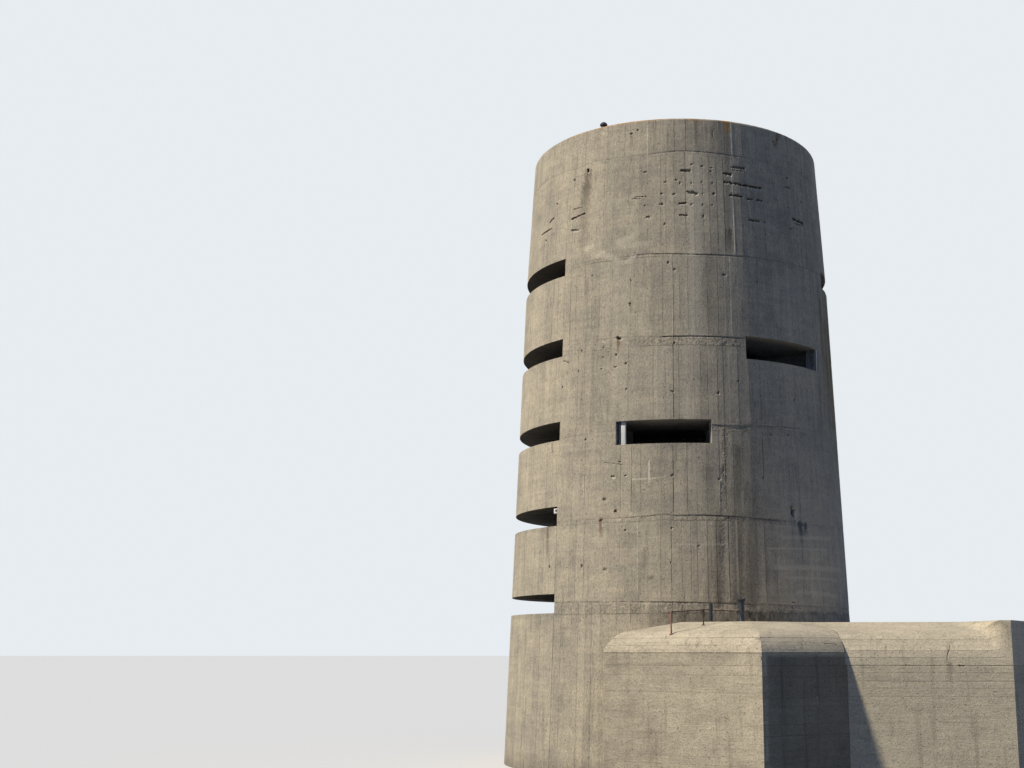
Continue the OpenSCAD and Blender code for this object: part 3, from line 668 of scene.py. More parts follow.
def cast(name, us, vs, layers, place, near, carries, metre, fine):
    """Builds a cast wall as one mesh. us and vs are the lines of a lattice along and up its face. layers
    are the openings in each layer, from the face to the back. place(u, v, k) gives the points of the
    k-th surface, and carries(u, v, k) what they carry. near says which cells are worked finely, in steps
    of fine metres; metre is the metres to one unit along the face. The face takes the first finish, the
    surfaces behind it the second, and ends and openings the third."""
    us, vs = np.asarray(us, float), np.asarray(vs, float)
    mid_u, mid_v = np.meshgrid((us[1:] + us[:-1]) / 2, (vs[1:] + vs[:-1]) / 2, indexing="ij")
    full = [np.pad(pierced(mid_u, mid_v, gaps), 1) for gaps in layers]
    worked = near(us[:-1, None], us[1:, None], vs[None, :-1], vs[None, 1:]) & full[0][1:-1, 1:-1]
    cut_u = np.maximum(1, np.ceil((us[1:] - us[:-1]) * metre / fine)).astype(int)
    cut_v = np.maximum(1, np.ceil((vs[1:] - vs[:-1]) / fine)).astype(int)
    known, points, faces, faced = {}, [], [], []

    def point(i, a, j, b, k):
        if a and a == cut_u[i]:
            i, a = i + 1, 0
        if b and b == cut_v[j]:
            j, b = j + 1, 0
        key = (i, a, j, b, k)
        if key not in known:
            known[key] = len(points)
            u = us[i] + (us[i + 1] - us[i]) * a / cut_u[i] if a else us[i]
            v = vs[j] + (vs[j + 1] - vs[j]) * b / cut_v[j] if b else vs[j]
            points.append((u, v, k))
        return known[key]

    def rim(i, j, k, side):
        """Points along one side of a cell's outline on surface k, from low to high."""
        split = k == 0 and worked[i, j]
        if side in ("left", "right"):
            column = i + (side == "right")
            steps = range(cut_v[j] + 1) if split else (0, cut_v[j])
            return [point(column, 0, j, b, k) for b in steps]
        row = j + (side == "top")
        steps = range(cut_u[i] + 1) if split else (0, cut_u[i])
        return [point(i, a, row, 0, k) for a in steps]

    for i in range(len(us) - 1):
        for j in range(len(vs) - 1):
            solid = [layer[i + 1, j + 1] for layer in full]
            if not any(solid):
                continue
            if worked[i, j]:
                for a in range(cut_u[i]):
                    for b in range(cut_v[j]):
                        faces.append([point(i, a, j, b, 0), point(i, a + 1, j, b, 0),
                                      point(i, a + 1, j, b + 1, 0), point(i, a, j, b + 1, 0)])
                        faced.append(0)
            for k in range(len(layers) + 1):
                outside = k == 0 or not solid[k - 1]
                inside = k < len(layers) and solid[k]
                if outside == inside and not (k == 0 and worked[i, j]):
                    quad = [point(i, 0, j, 0, k), point(i + 1, 0, j, 0, k),
                            point(i + 1, 0, j + 1, 0, k), point(i, 0, j + 1, 0, k)]
                    faces.append(quad if inside else quad[::-1])
                    faced.append(0 if k == 0 else 1)
            for k in range(len(layers)):
                if not solid[k]:
                    continue
                layer = full[k]
                for side, open_side in (("left", not layer[i, j + 1]), ("right", not layer[i + 2, j + 1]),
                                        ("bottom", not layer[i + 1, j]), ("top", not layer[i + 1, j + 2])):
                    if open_side:
                        front, back = rim(i, j, k, side), rim(i, j, k + 1, side)
                        ring = front[::-1] + [back[0], back[-1]]
                        if side in ("left", "top"):
                            ring = ring[::-1]
                        faces.append(ring)
                        faced.append(2)
    u, v, k = np.array(points).T
    mesh = bpy.data.meshes.new(name)
    mesh.from_pydata(np.column_stack(place(u, v, k)).tolist(), [], faces)
    mesh.polygons.foreach_set("material_index", faced)
    for label, values in carries(u, v, k).items():
        mesh.attributes.new(label, "FLOAT", "POINT").data.foreach_set("value", values.astype(np.float32))
    mesh.polygons.foreach_set("use_smooth", [True] * len(faces))
    mesh.set_sharp_from_angle(angle=math.radians(32))
    mesh.update()
    return mesh


def set_up(name, mesh, finishes, nodes):
    """Puts a mesh in the scene as a piece that stands for CAD nodes and takes its finish from a slot."""
    piece = bpy.data.objects.new(name, mesh)
    scene.collection.objects.link(piece)
    for finish in finishes:
        mesh.materials.append(finish)
    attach(piece, "root")
    if nodes:
        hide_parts(*nodes)
    return piece


def courses(low, high, musts, step=0.17):
    """Heights of the lattice's rows between two levels, with some that it must have."""
    stops = sorted({low, high, *(z for z in musts if low + 1e-6 < z < high - 1e-6)})
    rows = [low]
    for a, b in zip(stops, stops[1:]):
        parts = max(1, round((b - a) / step))
        rows += [a + (b - a) * (n + 1) / parts for n in range(parts)]
    return np.array(rows)


shaft_concrete = cast_concrete("shaft_concrete", (0.522, 0.450, 0.332), (0.308, 0.274, 0.217),
                               (1, 1, 0.15), 0.17)
# The inner faces' concrete is made light: painted light, for the light the rooms get through their
# openings.
painted_light_room_concrete = cast_concrete("painted_light_room_concrete", (0.55, 0.53, 0.49), (0.30, 0.295, 0.29), (1, 1, 0.08),
                              streak=2.2)
# Near-black concrete for the slits' sills, heads and jambs and the pieces' ends: painted shade in the
# slits.
painted_shade_concrete = cast_concrete("painted_shade_concrete", (0.155, 0.137, 0.112), (0.075, 0.067, 0.056), (1, 1, 0.3))
reveal_concrete = cast_concrete("reveal_concrete", (0.40, 0.375, 0.33), (0.24, 0.225, 0.20), (1, 1, 0.5))
# How far the worn rim is rounded back, and over what height; how high and how deep the pours' joints
# stand open, and how deep the rough bands are; how far a board leans to one side; and the radius from
# which the shaft's doorway keeps its width inward
rim_round, rim_h = 0.03, 0.05
joint_h, joint_deep, band_deep = 0.018, 0.022, 0.012
board_lean, door_r = 0.0035, 5.25


def shaft_wall(name, node, pour, a0, a1, low, high, backs, gaps, seed, finishes):
    """One cast piece of the shaft. backs are the radii of the surfaces behind the face, and gaps the
    openings in each layer, as azimuths and heights."""
    shutter = upright_boards(board_lines[pour], a0, a1, low, high, seed)
    bands = [(z, deep) for z, deep in band_depth.items() if low - 0.01 <= z <= high + 0.01]
    musts = []
    for z, deep in bands:
        musts += [z - joint_h, z, z + 0.02, z - deep, z - deep - 0.03]
    if pour == "parapet":
        musts += [rim_z - 0.07, rim_z - 0.045, rim_z - 0.022, rim_z - 0.008]
    columns = set(shutter.lines(step=1.1))
    for layer in gaps:
        for left, right, sill, head in layer:
            musts += [sill, head]
            columns |= {left, right}
    columns = sorted(columns)
    kept, least = [columns[0]], 0.04
    edges = {edge for layer in gaps for gap in layer for edge in gap[:2]}
    for column in columns[1:]:
        if column - kept[-1] > least:
            kept.append(column)
        elif column in edges:
            kept[-1] = column

    def notch(u, v):
        """How far the pours' joints and the rough bands under them sink the face, and how rough it is."""
        sink, rough, seam = np.zeros_like(u), np.zeros_like(u), np.zeros_like(u)
        for z, deep in band_depth.items():
            if not low - 0.6 < z < high + 0.6:
                continue
            open_by = followed(joint_notch[z], z, u) * (0.6 + 0.8 * grit(u * 0.9, u * 0 + z, 8))
            gap = (1 - np.abs(v - z + joint_h / 2) / joint_h).clip(0, 1)
            sink += joint_deep * open_by * gap
            seam += 0.9 * open_by * gap
            if deep:
                coarse = followed(band_rough[z], z, u) * (0.5 + 0.9 * grit(u * 0.6, u * 0 + z, 9))
                within = ((v > z - deep - 0.001) & (v < z + 0.001)).astype(float)
                rough += coarse * within
                sink += band_deep * coarse * within * grit(u * 2.6, v * 24, 10)
                seam += 0.45 * coarse * (1 - np.abs(v - z + deep + 0.012) / 0.025).clip(0, 1)
        for mark in shaft_marks["ragged"]:
            off, _ = nearness(around(u), v, mark, 0.8)
            broken = mark[5] * edged(off, 1.5, 1.0)
            rough = np.maximum(rough, broken)
            sink += band_deep * broken * grit(u * 9, v * 30, 10)
            seam += 0.3 * broken * grit(u * 12, v * 24, 15)
        return sink, rough, seam

    def place(u, v, k):
        z = v + settle(u, v)
        joint = shutter.joint_at(u, z)
        sunk, _, _ = notch(u, v)
        marked = marks_on(around(u), z, shaft_marks)[0]
        inset = (0.012 + 0.0025 * shutter.board_at(u, 0) + shutter.flat(u, mean_r, board_lean)
                 + np.where(joint > 0, 0.006 * joint, 0.004 * joint)
                 + 0.004 * (grit(u * 0.35, z * 0.9, 1) - 0.5) + 0.002 * (grit(u * 0.9, z * 3.0, 2) - 0.5)
                 + sunk + marked + rim_round * ((z - rim_z + rim_h) / rim_h).clip(0, 1) ** 2)
        radius = np.where(k == 0, face_r(z) - inset, 0)
        for n, back in enumerate(backs, 1):
            radius = np.where(k == n, back(z), radius)
        turn = u
        if pour == "base":
            # Behind the face the lattice is drawn together, so that the doorway's jambs are parallel
            spread = np.where(u < shaft_door[0], 1 - (shaft_door[0] - u) / 12,
                              np.where(u > shaft_door[1], 1 - (u - shaft_door[1]) / 20, 1)).clip(0, 1)
            square = np.degrees(np.arcsin((door_r * np.sin(np.radians(u)) / room_r).clip(-1, 1)))
            turn = np.where((k == len(backs)) & (spread > 0), u + spread * (square - u), u)
        angle = np.radians(turn)
        return radius * np.sin(angle), -radius * np.cos(angle), z

    def carries(u, v, k):
        z = v + settle(u, v)
        joint = shutter.joint_at(u, z)
        _, rough, seam = notch(u, v)
        _, dark, pale, rust, lichen = marks_on(around(u), z, shaft_marks)
        turn = wrapped(u)
        moss = (0.95 * ramp(turn, 60, 10) * ramp(turn, 100, -18) * ramp(z, 7.5, 4.5) * ramp(z, 15.0, -2.0)
                * (0.4 + 1.1 * grit(u * 0.7, z * 0.4, 16)))
        # A cool blue-grey on the shaded side, lower down: painted shade, with algae.
        film = 0.26 * ramp(turn, 24, 12) * ramp(turn, 120, -20) * ramp(z, 11.0, -4.0)
        foot = 0.38 * ramp(z, 0.5, -0.5)
        # A darker band just above where the bunker roof meets the shaft: painted shade in that crease, with
        # damp.
        shade_and_damp_top = 4.36 + 0.08 * grit(u * 0.8, z * 0, 12)
        shade_and_damp = (0.62 * ramp(turn, -16, 14) * ramp(turn, 100, -12) * ramp(z, shade_and_damp_top, -0.06)
                * ramp(z, 3.6, 0.3) * (0.55 + 0.7 * grit(u * 1.3, z * 9, 13)))
        carried = {"tone": 2 * shutter.board_at(u, 1) - 1, "line": joint, "rough": rough,
                   "dark": np.maximum.reduce([dark, seam, foot, shade_and_damp]), "pale": pale, "rust": rust,
                   "lichen": lichen, "moss": moss, "film": film}
        return {label: values * (k == 0) for label, values in carried.items()}

    def near(u0, u1, v0, v1):
        if a0 > 180:
            u0, u1 = u0 - 360, u1 - 360
        hit = worked_near(u0 * arc, u1 * arc, v0, v1, shaft_marks)
        for z, deep in bands:
            hit |= (v1 > z - deep - 0.04) & (v0 < z + 0.021) & (u0 > -60) & (u1 < 90)
        return hit

    mesh = cast(name, kept, courses(low, high, musts), gaps, place, near, carries, metre=arc, fine=0.024)
    if pour == "head":
        # The head's top is the rim of the deck inside the parapet
        finishes = (*finishes, slab_concrete)
        for face in mesh.polygons:
            if face.material_index == 2 and face.center.z > high - 0.3:
                face.material_index = 3
    return set_up(name, mesh, finishes, (node,))


def in_room(z):
    return np.full_like(z, room_r)


def behind_reveal(z):
    return face_r(z) - reveal


def widened(window):
    return (window[0] - widening, window[1] + widening, *window[2:])


top_notch = (top_slit_to, slit_to, slit_sills[4], slit_heads[4])
landward_gaps = {
    "base": [[(shaft_door[0], shaft_door[1], -1.0, shaft_door[2])]],
    "first": [[]],
    "second": [[low_window], [widened(low_window)]],
    "third": [[low_window, high_window], [widened(low_window), widened(high_window)]],
    "fourth": [[high_window, top_notch], [widened(high_window), top_notch]],
    "head": [[top_notch]],
}
behind_window = (shaft_concrete, painted_light_room_concrete, reveal_concrete)
behind_slit = (shaft_concrete, painted_light_room_concrete, painted_shade_concrete)
for n, pour in enumerate(("base", "first", "second", "third", "fourth", "head")):
    gaps = landward_gaps[pour]
    backs = [in_room] if len(gaps) == 1 else [behind_reveal, in_room]
    shaft_wall(f"{pour}_landward_casting", f"{pour}_landward_wall", pour, slit_from, slit_to,
               pour_tops[n], pour_tops[n + 1], backs, gaps, 11 + n, behind_window)
    foot = slit_heads[n - 1] if n else 0.0
    top = slit_sills[n] if n < 5 else pour_tops[6]
    for side, begins, ends, seed in (("right", slit_to, sea_joint, 31),
                                     ("left", sea_joint, slit_from + 360, 51)):
        shaft_wall(f"{pour}_{side}_casting", f"{pour}_{side}_wall", pour, begins, ends, foot, top,
                   [in_room], [[]], seed + n, behind_slit)

# Window posts. The frames of the landward windows were steel. Of the lower
# one a white-painted channel still stands at the left jamb, and of the upper
# one two bars stand at the right jamb, joined by a web.
def painted_steel(name, paint, worn, chipped, rough=0.45):
    """Old paint on steel, dulled, chipped to rust in patches and streaked with it."""
    material, wire = new_finish(name)
    at = wire.node("ShaderNodeTexCoord", out=3)
    blotch = at.cloud(7.0, 5, 0.65)
    fleck = at.cloud(60.0, 4, 0.65)
    streak = at.cloud(30.0, 4, 0.6, (1, 1, 0.08))
    rust_from = 1.02 - 0.45 * chipped
    rusted = (0.75 * blotch + 0.35 * streak + 0.25 * fleck).rise(rust_from, rust_from + 0.12)
    faded = streak.rise(0.35, 0.75).blend((*paint, 1), (*worn, 1))
    scale = fleck.blend((0.055, 0.024, 0.012, 1), (0.21, 0.085, 0.032, 1))
    colour = faded.toward(scale, rusted)
    finish_off(wire, colour, (rough + 0.4 * rusted + 0.2 * (blotch - 0.5)).held(), 0.4,
               0.5 * fleck + 0.8 * rusted * fleck + 0.2 * blotch, 0.0015)
    return material


def metal_piece(name, parts, bevel, finish, nodes):
    """A piece of several parts, each a function that builds it in a bmesh, with its edges eased."""
    work = bmesh.new()
    for part in parts:
        part(work)
    bmesh.ops.remove_doubles(work, verts=work.verts[:], dist=1e-5)
    bmesh.ops.recalc_face_normals(work, faces=work.faces[:])
    if bevel:
        sharp = [e for e in work.edges if len(e.link_faces) == 2 and e.calc_face_angle(0) > 0.6]
        bmesh.ops.bevel(work, geom=sharp, offset=bevel, segments=2, profile=0.6, affect="EDGES",
                        clamp_overlap=True)
    mesh = bpy.data.meshes.new(name)
    work.to_mesh(mesh)
    work.free()
    mesh.polygons.foreach_set("use_smooth", [True] * len(mesh.polygons))
    mesh.set_sharp_from_angle(angle=math.radians(35))
    return set_up(name, mesh, (finish,), nodes)


def plate(u0, u1, v0, v1, w0, w1, at):
    """A flat bar between limits across, inward and up, carried to its place by at."""
    def build(work):
        spots = [work.verts.new(at(u, v, w)) for u in (u0, u1) for v in (v0, v1) for w in (w0, w1)]
        for ring in ((0, 1, 3, 2), (4, 6, 7, 5), (0, 4, 5, 1), (2, 3, 7, 6), (0, 2, 6, 4), (1, 5, 7, 3)):
            work.faces.new([spots[n] for n in ring])
    return build


def circle(sides):
    """Corners of a round of radius 1."""
    return [(math.cos(2 * math.pi * n / sides), math.sin(2 * math.pi * n / sides)) for n in range(sides)]


def skinned(work, rings, closed):
    """Faces from each ring of points to the next one, and over the closed rings."""
    for low, high in zip(rings, rings[1:]):
        for n in range(len(low)):
            after = (n + 1) % len(low)
            work.faces.new([low[n], low[after], high[after], high[n]])
    for ring in closed:
        work.faces.new(ring)


def stud(u, v, w, radius, out, at, sides=6):
    """A small bolt head that stands out from a plate."""
    def build(work):
        rings = []
        for depth, size in ((0.0, 1.0), (out * 0.7, 1.0), (out, 0.75)):
            rings.append([work.verts.new(at(u + radius * size * aside, v - depth, w + radius * size * up))
                          for aside, up in circle(sides)])
        skinned(work, rings, rings[-1:])
    return build


def at_jamb(azimuth, sill, inset):
    """Frame of a post: across, inward from its outer face, and up from the sill."""
    angle = math.radians(azimuth)
    out = Vector((math.sin(angle), -math.cos(angle), 0))
    across = Vector((math.cos(angle), math.sin(angle), 0))
    start = out * (float(face_r(sill)) - inset) + Vector((0, 0, sill))
    return lambda u, v, w: start + across * u - out * v + Vector((0, 0, w))


white_steel = painted_steel("white_steel", (0.74, 0.73, 0.69), (0.55, 0.54, 0.50), 0.2)
grey_steel = painted_steel("grey_steel", (0.30, 0.32, 0.33), (0.20, 0.21, 0.22), 0.45)
# Blue-grey steel for the angle beside the low window's white channel: painted shade, for the frame's flange
# and web in the jamb's shadow.
painted_shade_steel = painted_steel("painted_shade_steel", (0.16, 0.19, 0.24), (0.09, 0.10, 0.12), 0.5)
tall = low_window[3] - low_window[2]


def frame_steel(name, finish, nodes, jamb, bars, webs, ends, thick, studs, ease):
    """Part of a window's frame: upright bars, webs between them, and plates on the sill and at the head."""
    short = 0.004
    parts = [plate(*bar, short, tall - short, jamb) for bar in bars]
    parts += [plate(*web, jamb) for web in webs]
    parts += [plate(*end, low, low + thick, jamb) for end in ends for low in (0.0, tall - thick)]
    parts += [stud(*spot, jamb) for spot in studs]
    metal_piece(name, parts, ease, finish, nodes)


low_jamb, high_jamb = at_jamb(-22.0, low_window[2], 0.120), at_jamb(55.3, high_window[2], 0.020)
frame_steel("low_window_channel", white_steel, ("low_window_post",), low_jamb,
            ((-0.010, 0.117, 0.0, 0.012), (0.105, 0.117, 0.012, 0.078), (-0.010, 0.000, 0.012, 0.070)), (),
            ((-0.012, 0.122, 0.0, 0.080),), 0.010,
            [(u, 0.0, w, 0.010, 0.008) for u in (0.014, 0.092) for w in (0.06, 0.34, 0.62)], 0.0016)
frame_steel("low_window_angle", painted_shade_steel, (), low_jamb,
            ((-0.086, -0.042, 0.024, 0.034), (-0.120, -0.110, 0.020, 0.078),
             (-0.110, -0.010, 0.068, 0.078)), (),
            ((-0.124, -0.014, 0.018, 0.080),), 0.010,
            [(-0.064, 0.024, w, 0.008, 0.006) for w in (0.10, 0.58)], 0.0016)
frame_steel("high_window_bars", grey_steel, ("high_window_posts",), high_jamb,
            ((-0.033, 0.033, 0.0, 0.010), (-0.005, 0.005, 0.010, 0.072), (-0.033, 0.033, 0.070, 0.080),
             (-0.033, 0.033, 0.250, 0.260), (-0.005, 0.005, 0.260, 0.322), (-0.033, 0.033, 0.320, 0.330)),
            [(-0.003, 0.003, 0.080, 0.250, low, low + 0.06) for low in (0.10, tall - 0.16)],
            [(-0.034, 0.034, v, v + 0.082) for v in (-0.001, 0.249)], 0.008,
            [(u, 0.0, w, 0.008, 0.006) for u in (-0.018, 0.018) for w in (0.08, 0.34, 0.60)], 0.0014)

# Slit lamp. A small white lamp with a dark round eye is bolted to the end of
# the landward wall, in the right-hand corner of the second slit.
lamp_paint = painted_steel("lamp_paint", (0.78, 0.77, 0.73), (0.62, 0.61, 0.57), 0.1, 0.4)
lamp_z, lamp_in = 7.2, 0.05


def at_lamp(u, v, w):
    """Place beside the wall's end: away from it, inward along it, and up from the second slit's sill."""
    angle = math.radians(slit_from)
    out = Vector((math.sin(angle), -math.cos(angle), 0))
    away = Vector((-math.cos(angle), -math.sin(angle), 0))
    return out * (float(face_r(lamp_z)) - lamp_in - v) + away * u + Vector((0, 0, slit_sills[1] + w))


metal_piece("slit_lamp", [
    plate(0.0, 0.012, 0.02, 0.12, 0.34, 0.50, at_lamp),
    plate(0.012, 0.050, 0.055, 0.085, 0.40, 0.43, at_lamp),
    plate(0.030, 0.185, 0.0, 0.125, 0.340, 0.490, at_lamp),
    plate(0.040, 0.175, -0.010, 0.0, 0.350, 0.480, at_lamp)], 0.028, lamp_paint, ())
glass_paint = painted_steel("lamp_glass", (0.020, 0.018, 0.016), (0.040, 0.036, 0.030), 0.05, 0.25)
metal_piece("slit_lamp_eye", [
    stud(0.078, -0.009, 0.428, 0.036, 0.006, at_lamp, 20),
    stud(0.078, -0.014, 0.428, 0.026, 0.005, at_lamp, 20)], 0.0, glass_paint, ())

# Parapet. A last low ring of the same boarded concrete stands on the deck,
# cast in two halves; its rim has worn and grows orange lichen.
parapet_t = 0.9


def inside_parapet(z):
    return np.full_like(z, float(face_r(pour_tops[6])) - parapet_t)


around_deck = (shaft_concrete, reveal_concrete, shaft_concrete)
for side, begins, seed in (("landward", -90.0, 71), ("seaward", 90.0, 72)):
    shaft_wall(f"{side}_parapet_casting", f"{side}_parapet", "parapet", begins, begins + 180.0,
               pour_tops[6], rim_z, [inside_parapet], [[]], seed, around_deck)

# Roof vent. A cast-iron dome on a short neck closes a vent in the parapet's
# top. It stands on a thin flange held by four bolts, and has a lifting lug.
def lathed(profile, centre, sides, lean=0.0):
    """A turned part: radius and height pairs spun round an upright axis, which may lean a little."""
    def build(work):
        rings = []
        for radius, height in profile:
            middle = Vector(centre) + Vector((lean * height, 0, height))
            rings.append([work.verts.new(middle + Vector((radius * aside, radius * ahead, 0)))
                          for aside, ahead in circle(sides)])
        skinned(work, rings, (rings[0], rings[-1]))
    return build


def bolts_round(centre, away, count, start=0.3, size=0.009, high=0.012):
    """Hexagon heads that stand on a flange, at a distance from its centre."""
    parts = []
    for n in range(count):
        angle = start + 2 * math.pi * n / count
        spot = (centre[0] + away * math.cos(angle), centre[1] + away * math.sin(angle), centre[2])
        parts.append(lathed([(size, 0), (size, high * 0.8), (size * 0.7, high)], spot, 6))
    return parts


dome_angle = math.radians(-32)
dome_r = float(face_r(rim_z)) - 0.18
dome_at = (dome_r * math.sin(dome_angle), -dome_r * math.cos(dome_angle), rim_z - 0.001)
dome_iron = painted_steel("dome_iron", (0.018, 0.020, 0.026), (0.035, 0.036, 0.040), 0.35, 0.6)
dome_outline = [(0.092, 0.0), (0.094, 0.008), (0.080, 0.012), (0.073, 0.016), (0.072, 0.092),
                (0.078, 0.098), (0.110, 0.099), (0.1145, 0.103), (0.1145, 0.112)]
dome_outline += [(0.1145 * math.cos(math.radians(a)), 0.112 + 0.098 * math.sin(math.radians(a)))
                 for a in range(10, 88, 9)]
metal_piece("roof_vent_dome", [
    lathed(dome_outline, dome_at, 36),
    lathed([(0.014, 0.0), (0.014, 0.005), (0.009, 0.007)], (*dome_at[:2], dome_at[2] + 0.208), 12),
    *bolts_round((*dome_at[:2], dome_at[2] + 0.007), 0.086, 4, 0.5, 0.005, 0.008)], 0.0,
    dome_iron, ("roof_vent_cap",))

# Bunker walls. The low room at the shaft's landward foot and its wing have
# walls 1.2 m thick, cast against level boards, with corners cut on the mitre.
def facing(turn):
    return np.array([math.sin(math.radians(turn)), -math.cos(math.radians(turn))])


def along(turn):
    return np.array([math.cos(math.radians(turn)), math.sin(math.radians(turn))])


left_l, right_l, wing_l, end_l = 4.35, 2.617, 4.00, 2.9
left_turn, right_turn, wing_turn, end_turn = -30, 30, -6, 60
return_y, rear_y, rear_x = -3.9, -3.2, 3.6
front_corner = np.array([1.40, -9.53])
left_corner = front_corner - left_l * along(left_turn)
inner_corner = front_corner + right_l * along(right_turn)
wing_corner = inner_corner + wing_l * along(wing_turn)
end_corner = wing_corner + end_l * along(end_turn)
rear_corner = np.array([end_corner[0], rear_y])
wall_top, wall_t, rear_door = 2.95, 1.2, (6.75, 7.65, 2.0)

# The eaves in section, joint by joint: distance in from the wall's face, height, and how strongly the
# joint shows. The bunker's springs back in a round from a sharp lip, and the wing's rises from a joint
# on top of its wall.
crest_in, crest_z = 2.05, 4.046
eave_r, round_in, round_z = 0.78, 0.7498, 3.0287
bunker_eave = [(0.012, wall_top, 0.2), (0.012, 3.243, 0.0), (0.004, 3.262, 0.5)]
for z, strength in ((3.35, 0.0), (3.44, 0.4), (3.53, 0.0), (3.62, 0.7), (3.70, 0.05), (3.76, 0.0)):
    bunker_eave.append((round_in - math.sqrt(eave_r ** 2 - (z - round_z) ** 2), z, strength))
bunker_eave += [(0.6144, 3.797, 0.45), (1.0, 3.862, 0.1), (1.4, 3.932, 0.35), (1.75, 3.994, 0.1),
                (crest_in, crest_z, 0.2)]
wing_eave = [(0.010, wall_top, 1.0), (0.014, 3.13, 0.4), (0.032, 3.31, 0.45), (0.09, 3.45, 0.1),
             (0.17, 3.585, 0.5), (0.25, 3.67, 0.0), (0.35, 3.742, 0.12), (0.56, 3.802, 0.25),
             (0.88, 3.850, 0.0), (1.2, 3.900, 0.6), (1.62, 3.973, 0.1), (crest_in, crest_z, 0.2)]


def outlined(eave):
    """Length of an eave's outline at each of its joints, counted on from the top of the wall."""
    lengths = [wall_top]
    for last, stop in zip(eave, eave[1:]):
        lengths.append(lengths[-1] + math.hypot(stop[0] - last[0], stop[1] - last[1]))
    return lengths


class Face:
    """An outer face of the bunker: where it starts, which way it faces, how long it is, and its eave."""

    # Pixels of the view to a metre
    metre_px = 38.0

    def __init__(self, start, turn, length, eave=bunker_eave):
        self.start, self.length, self.eave = start, length, eave
        self.out, self.run = facing(turn), along(turn)
        self.reach = float(self.out @ start)

    def point(self, s, inward, z):
        """A place so far along the face, inward from it, and up."""
        plan = self.start[:, None] + self.run[:, None] * s - self.out[:, None] * inward
        return plan[0], plan[1], z

    def seen_at(self, px, py):
        """Metres along the face and height at a point of the view, in its pixels."""
        right, ahead, climb = ray_to(px, py)
        ray, spot = np.array([right, ahead]), np.array([eye.x, eye.y])
        t = (self.reach - float(self.out @ spot)) / float(self.out @ ray)
        return float((spot + t * ray - self.start) @ self.run), eye.z + t * climb

    def laid(self, ends):
        """A mark's two ends along and up the face, its half width in metres, and the rest."""
        (a, low), (b, high) = self.seen_at(ends[0], ends[1]), self.seen_at(ends[2], ends[3])
        return (a, self.rolled(low), b, self.rolled(high), ends[4] / self.metre_px, *ends[5:])

    def rolled(self, z):
        """Length of the eave's outline up to a height above the wall's top."""
        if z <= wall_top:
            return z
        return float(np.interp(z, [stop[1] for stop in self.eave], outlined(self.eave)))


return_face = Face(np.array([left_corner[0], return_y]), -90, abs(return_y - left_corner[1]))
left_face = Face(left_corner, left_turn, left_l)
right_face = Face(front_corner, right_turn, right_l)
wing_face = Face(inner_corner, wing_turn, wing_l, wing_eave)
end_face = Face(wing_corner, end_turn, end_l)
side_face = Face(end_corner, 90, rear_corner[1] - end_corner[1])
rear_face = Face(rear_corner, 180, rear_corner[0] - rear_x)

# Marks of the two faces that show, given as the shaft's are
bunker_marks = {
    "wing": all_laid(wing_face.laid, (
        (951.4, 644.6, 949.8, 649, 0.3, 0.012), (949.8, 649, 947.9, 655, 0.3, 0.012),
        (947.9, 655, 947.4, 661.5, 0.35, 0.012), (886.6, 644.6, 886, 649, 0.3, 0.006),
        (959, 665.6, 964, 666.2, 0.5, 0.025), (906, 665.4, 910, 665.6, 0.4, 0.015),
        (951, 622.8, 957, 622.6, 0.5, 0.02)
    ), (
        (950, 666, 949.6, 684, 3.0, 0.4, 0.05), (886, 649, 885, 664, 1.4, 0.2, 0.0),
        (950, 642, 946, 662, 1.6, 0.3, 0.1), (862, 667, 900, 668, 1.6, 0.25, 0.0),
        (985, 668, 1001, 669, 1.4, 0.3, 0.05), (900, 668, 944, 668, 1.2, 0.2, 0.0)
    ), (
        (878.4, 637, 881.4, 637.4, 1.5, 0.6), (952, 645.4, 960, 643, 1.2, 0.5),
        (915, 672.6, 918, 678, 0.9, 0.6), (843, 637, 852, 635.4, 0.8, 0.5),
        (979.6, 630, 980.2, 690, 0.5, 0.35), (908, 648, 911, 662, 1.0, 0.2),
        (884, 655, 886, 664, 0.8, 0.25), (946, 652, 946.4, 660, 0.5, 0.6)
    )),
    "right": all_laid(right_face.laid, (
        (828, 643.6, 840, 644.4, 0.4, 0.014), (775, 637.6, 778, 637.8, 0.4, 0.01)
    ), (
        (786, 664, 790, 735, 7.0, 0.15, 0.0), (806, 660, 803, 720, 6.0, 0.12, 0.0),
        (834, 660, 832, 715, 6.0, 0.15, 0.0), (772, 735, 812, 742, 7.0, 0.3, 0.0),
        (822, 714, 814, 750, 6.0, 0.3, 0.0)
    ), (
        (817.6, 697, 818.6, 705, 0.8, 0.3), (780, 704.2, 818, 704, 0.5, 0.1),
        # The pale strip down the front corner, first on this line, is a painted highlight on the lit arris,
        # with its broken edge.
        (765, 652, 766.4, 672, 0.8, 0.4), (766, 610, 768, 612, 0.4, 0.1)
    )),
    "plain": all_laid(wing_face.laid),
}
# Board joints that stand out on the walls: height, and how strong the joint is
level_lines = {
    "wing": ((2.57, 0.35), (2.77, 0.3), (2.40, 0.2), (2.2, 0.25)),
    "right": ((1.32, 0.3), (1.58, 0.35), (2.68, 0.3), (2.2, 0.2)),
    "plain": ((2.72, 0.2),),
}
# The width of a level board, half the width of a joint's groove, and the stretch of a joint that shows
# all along
level_width, level_groove, endless = 0.2, 0.014, (-99, 99)


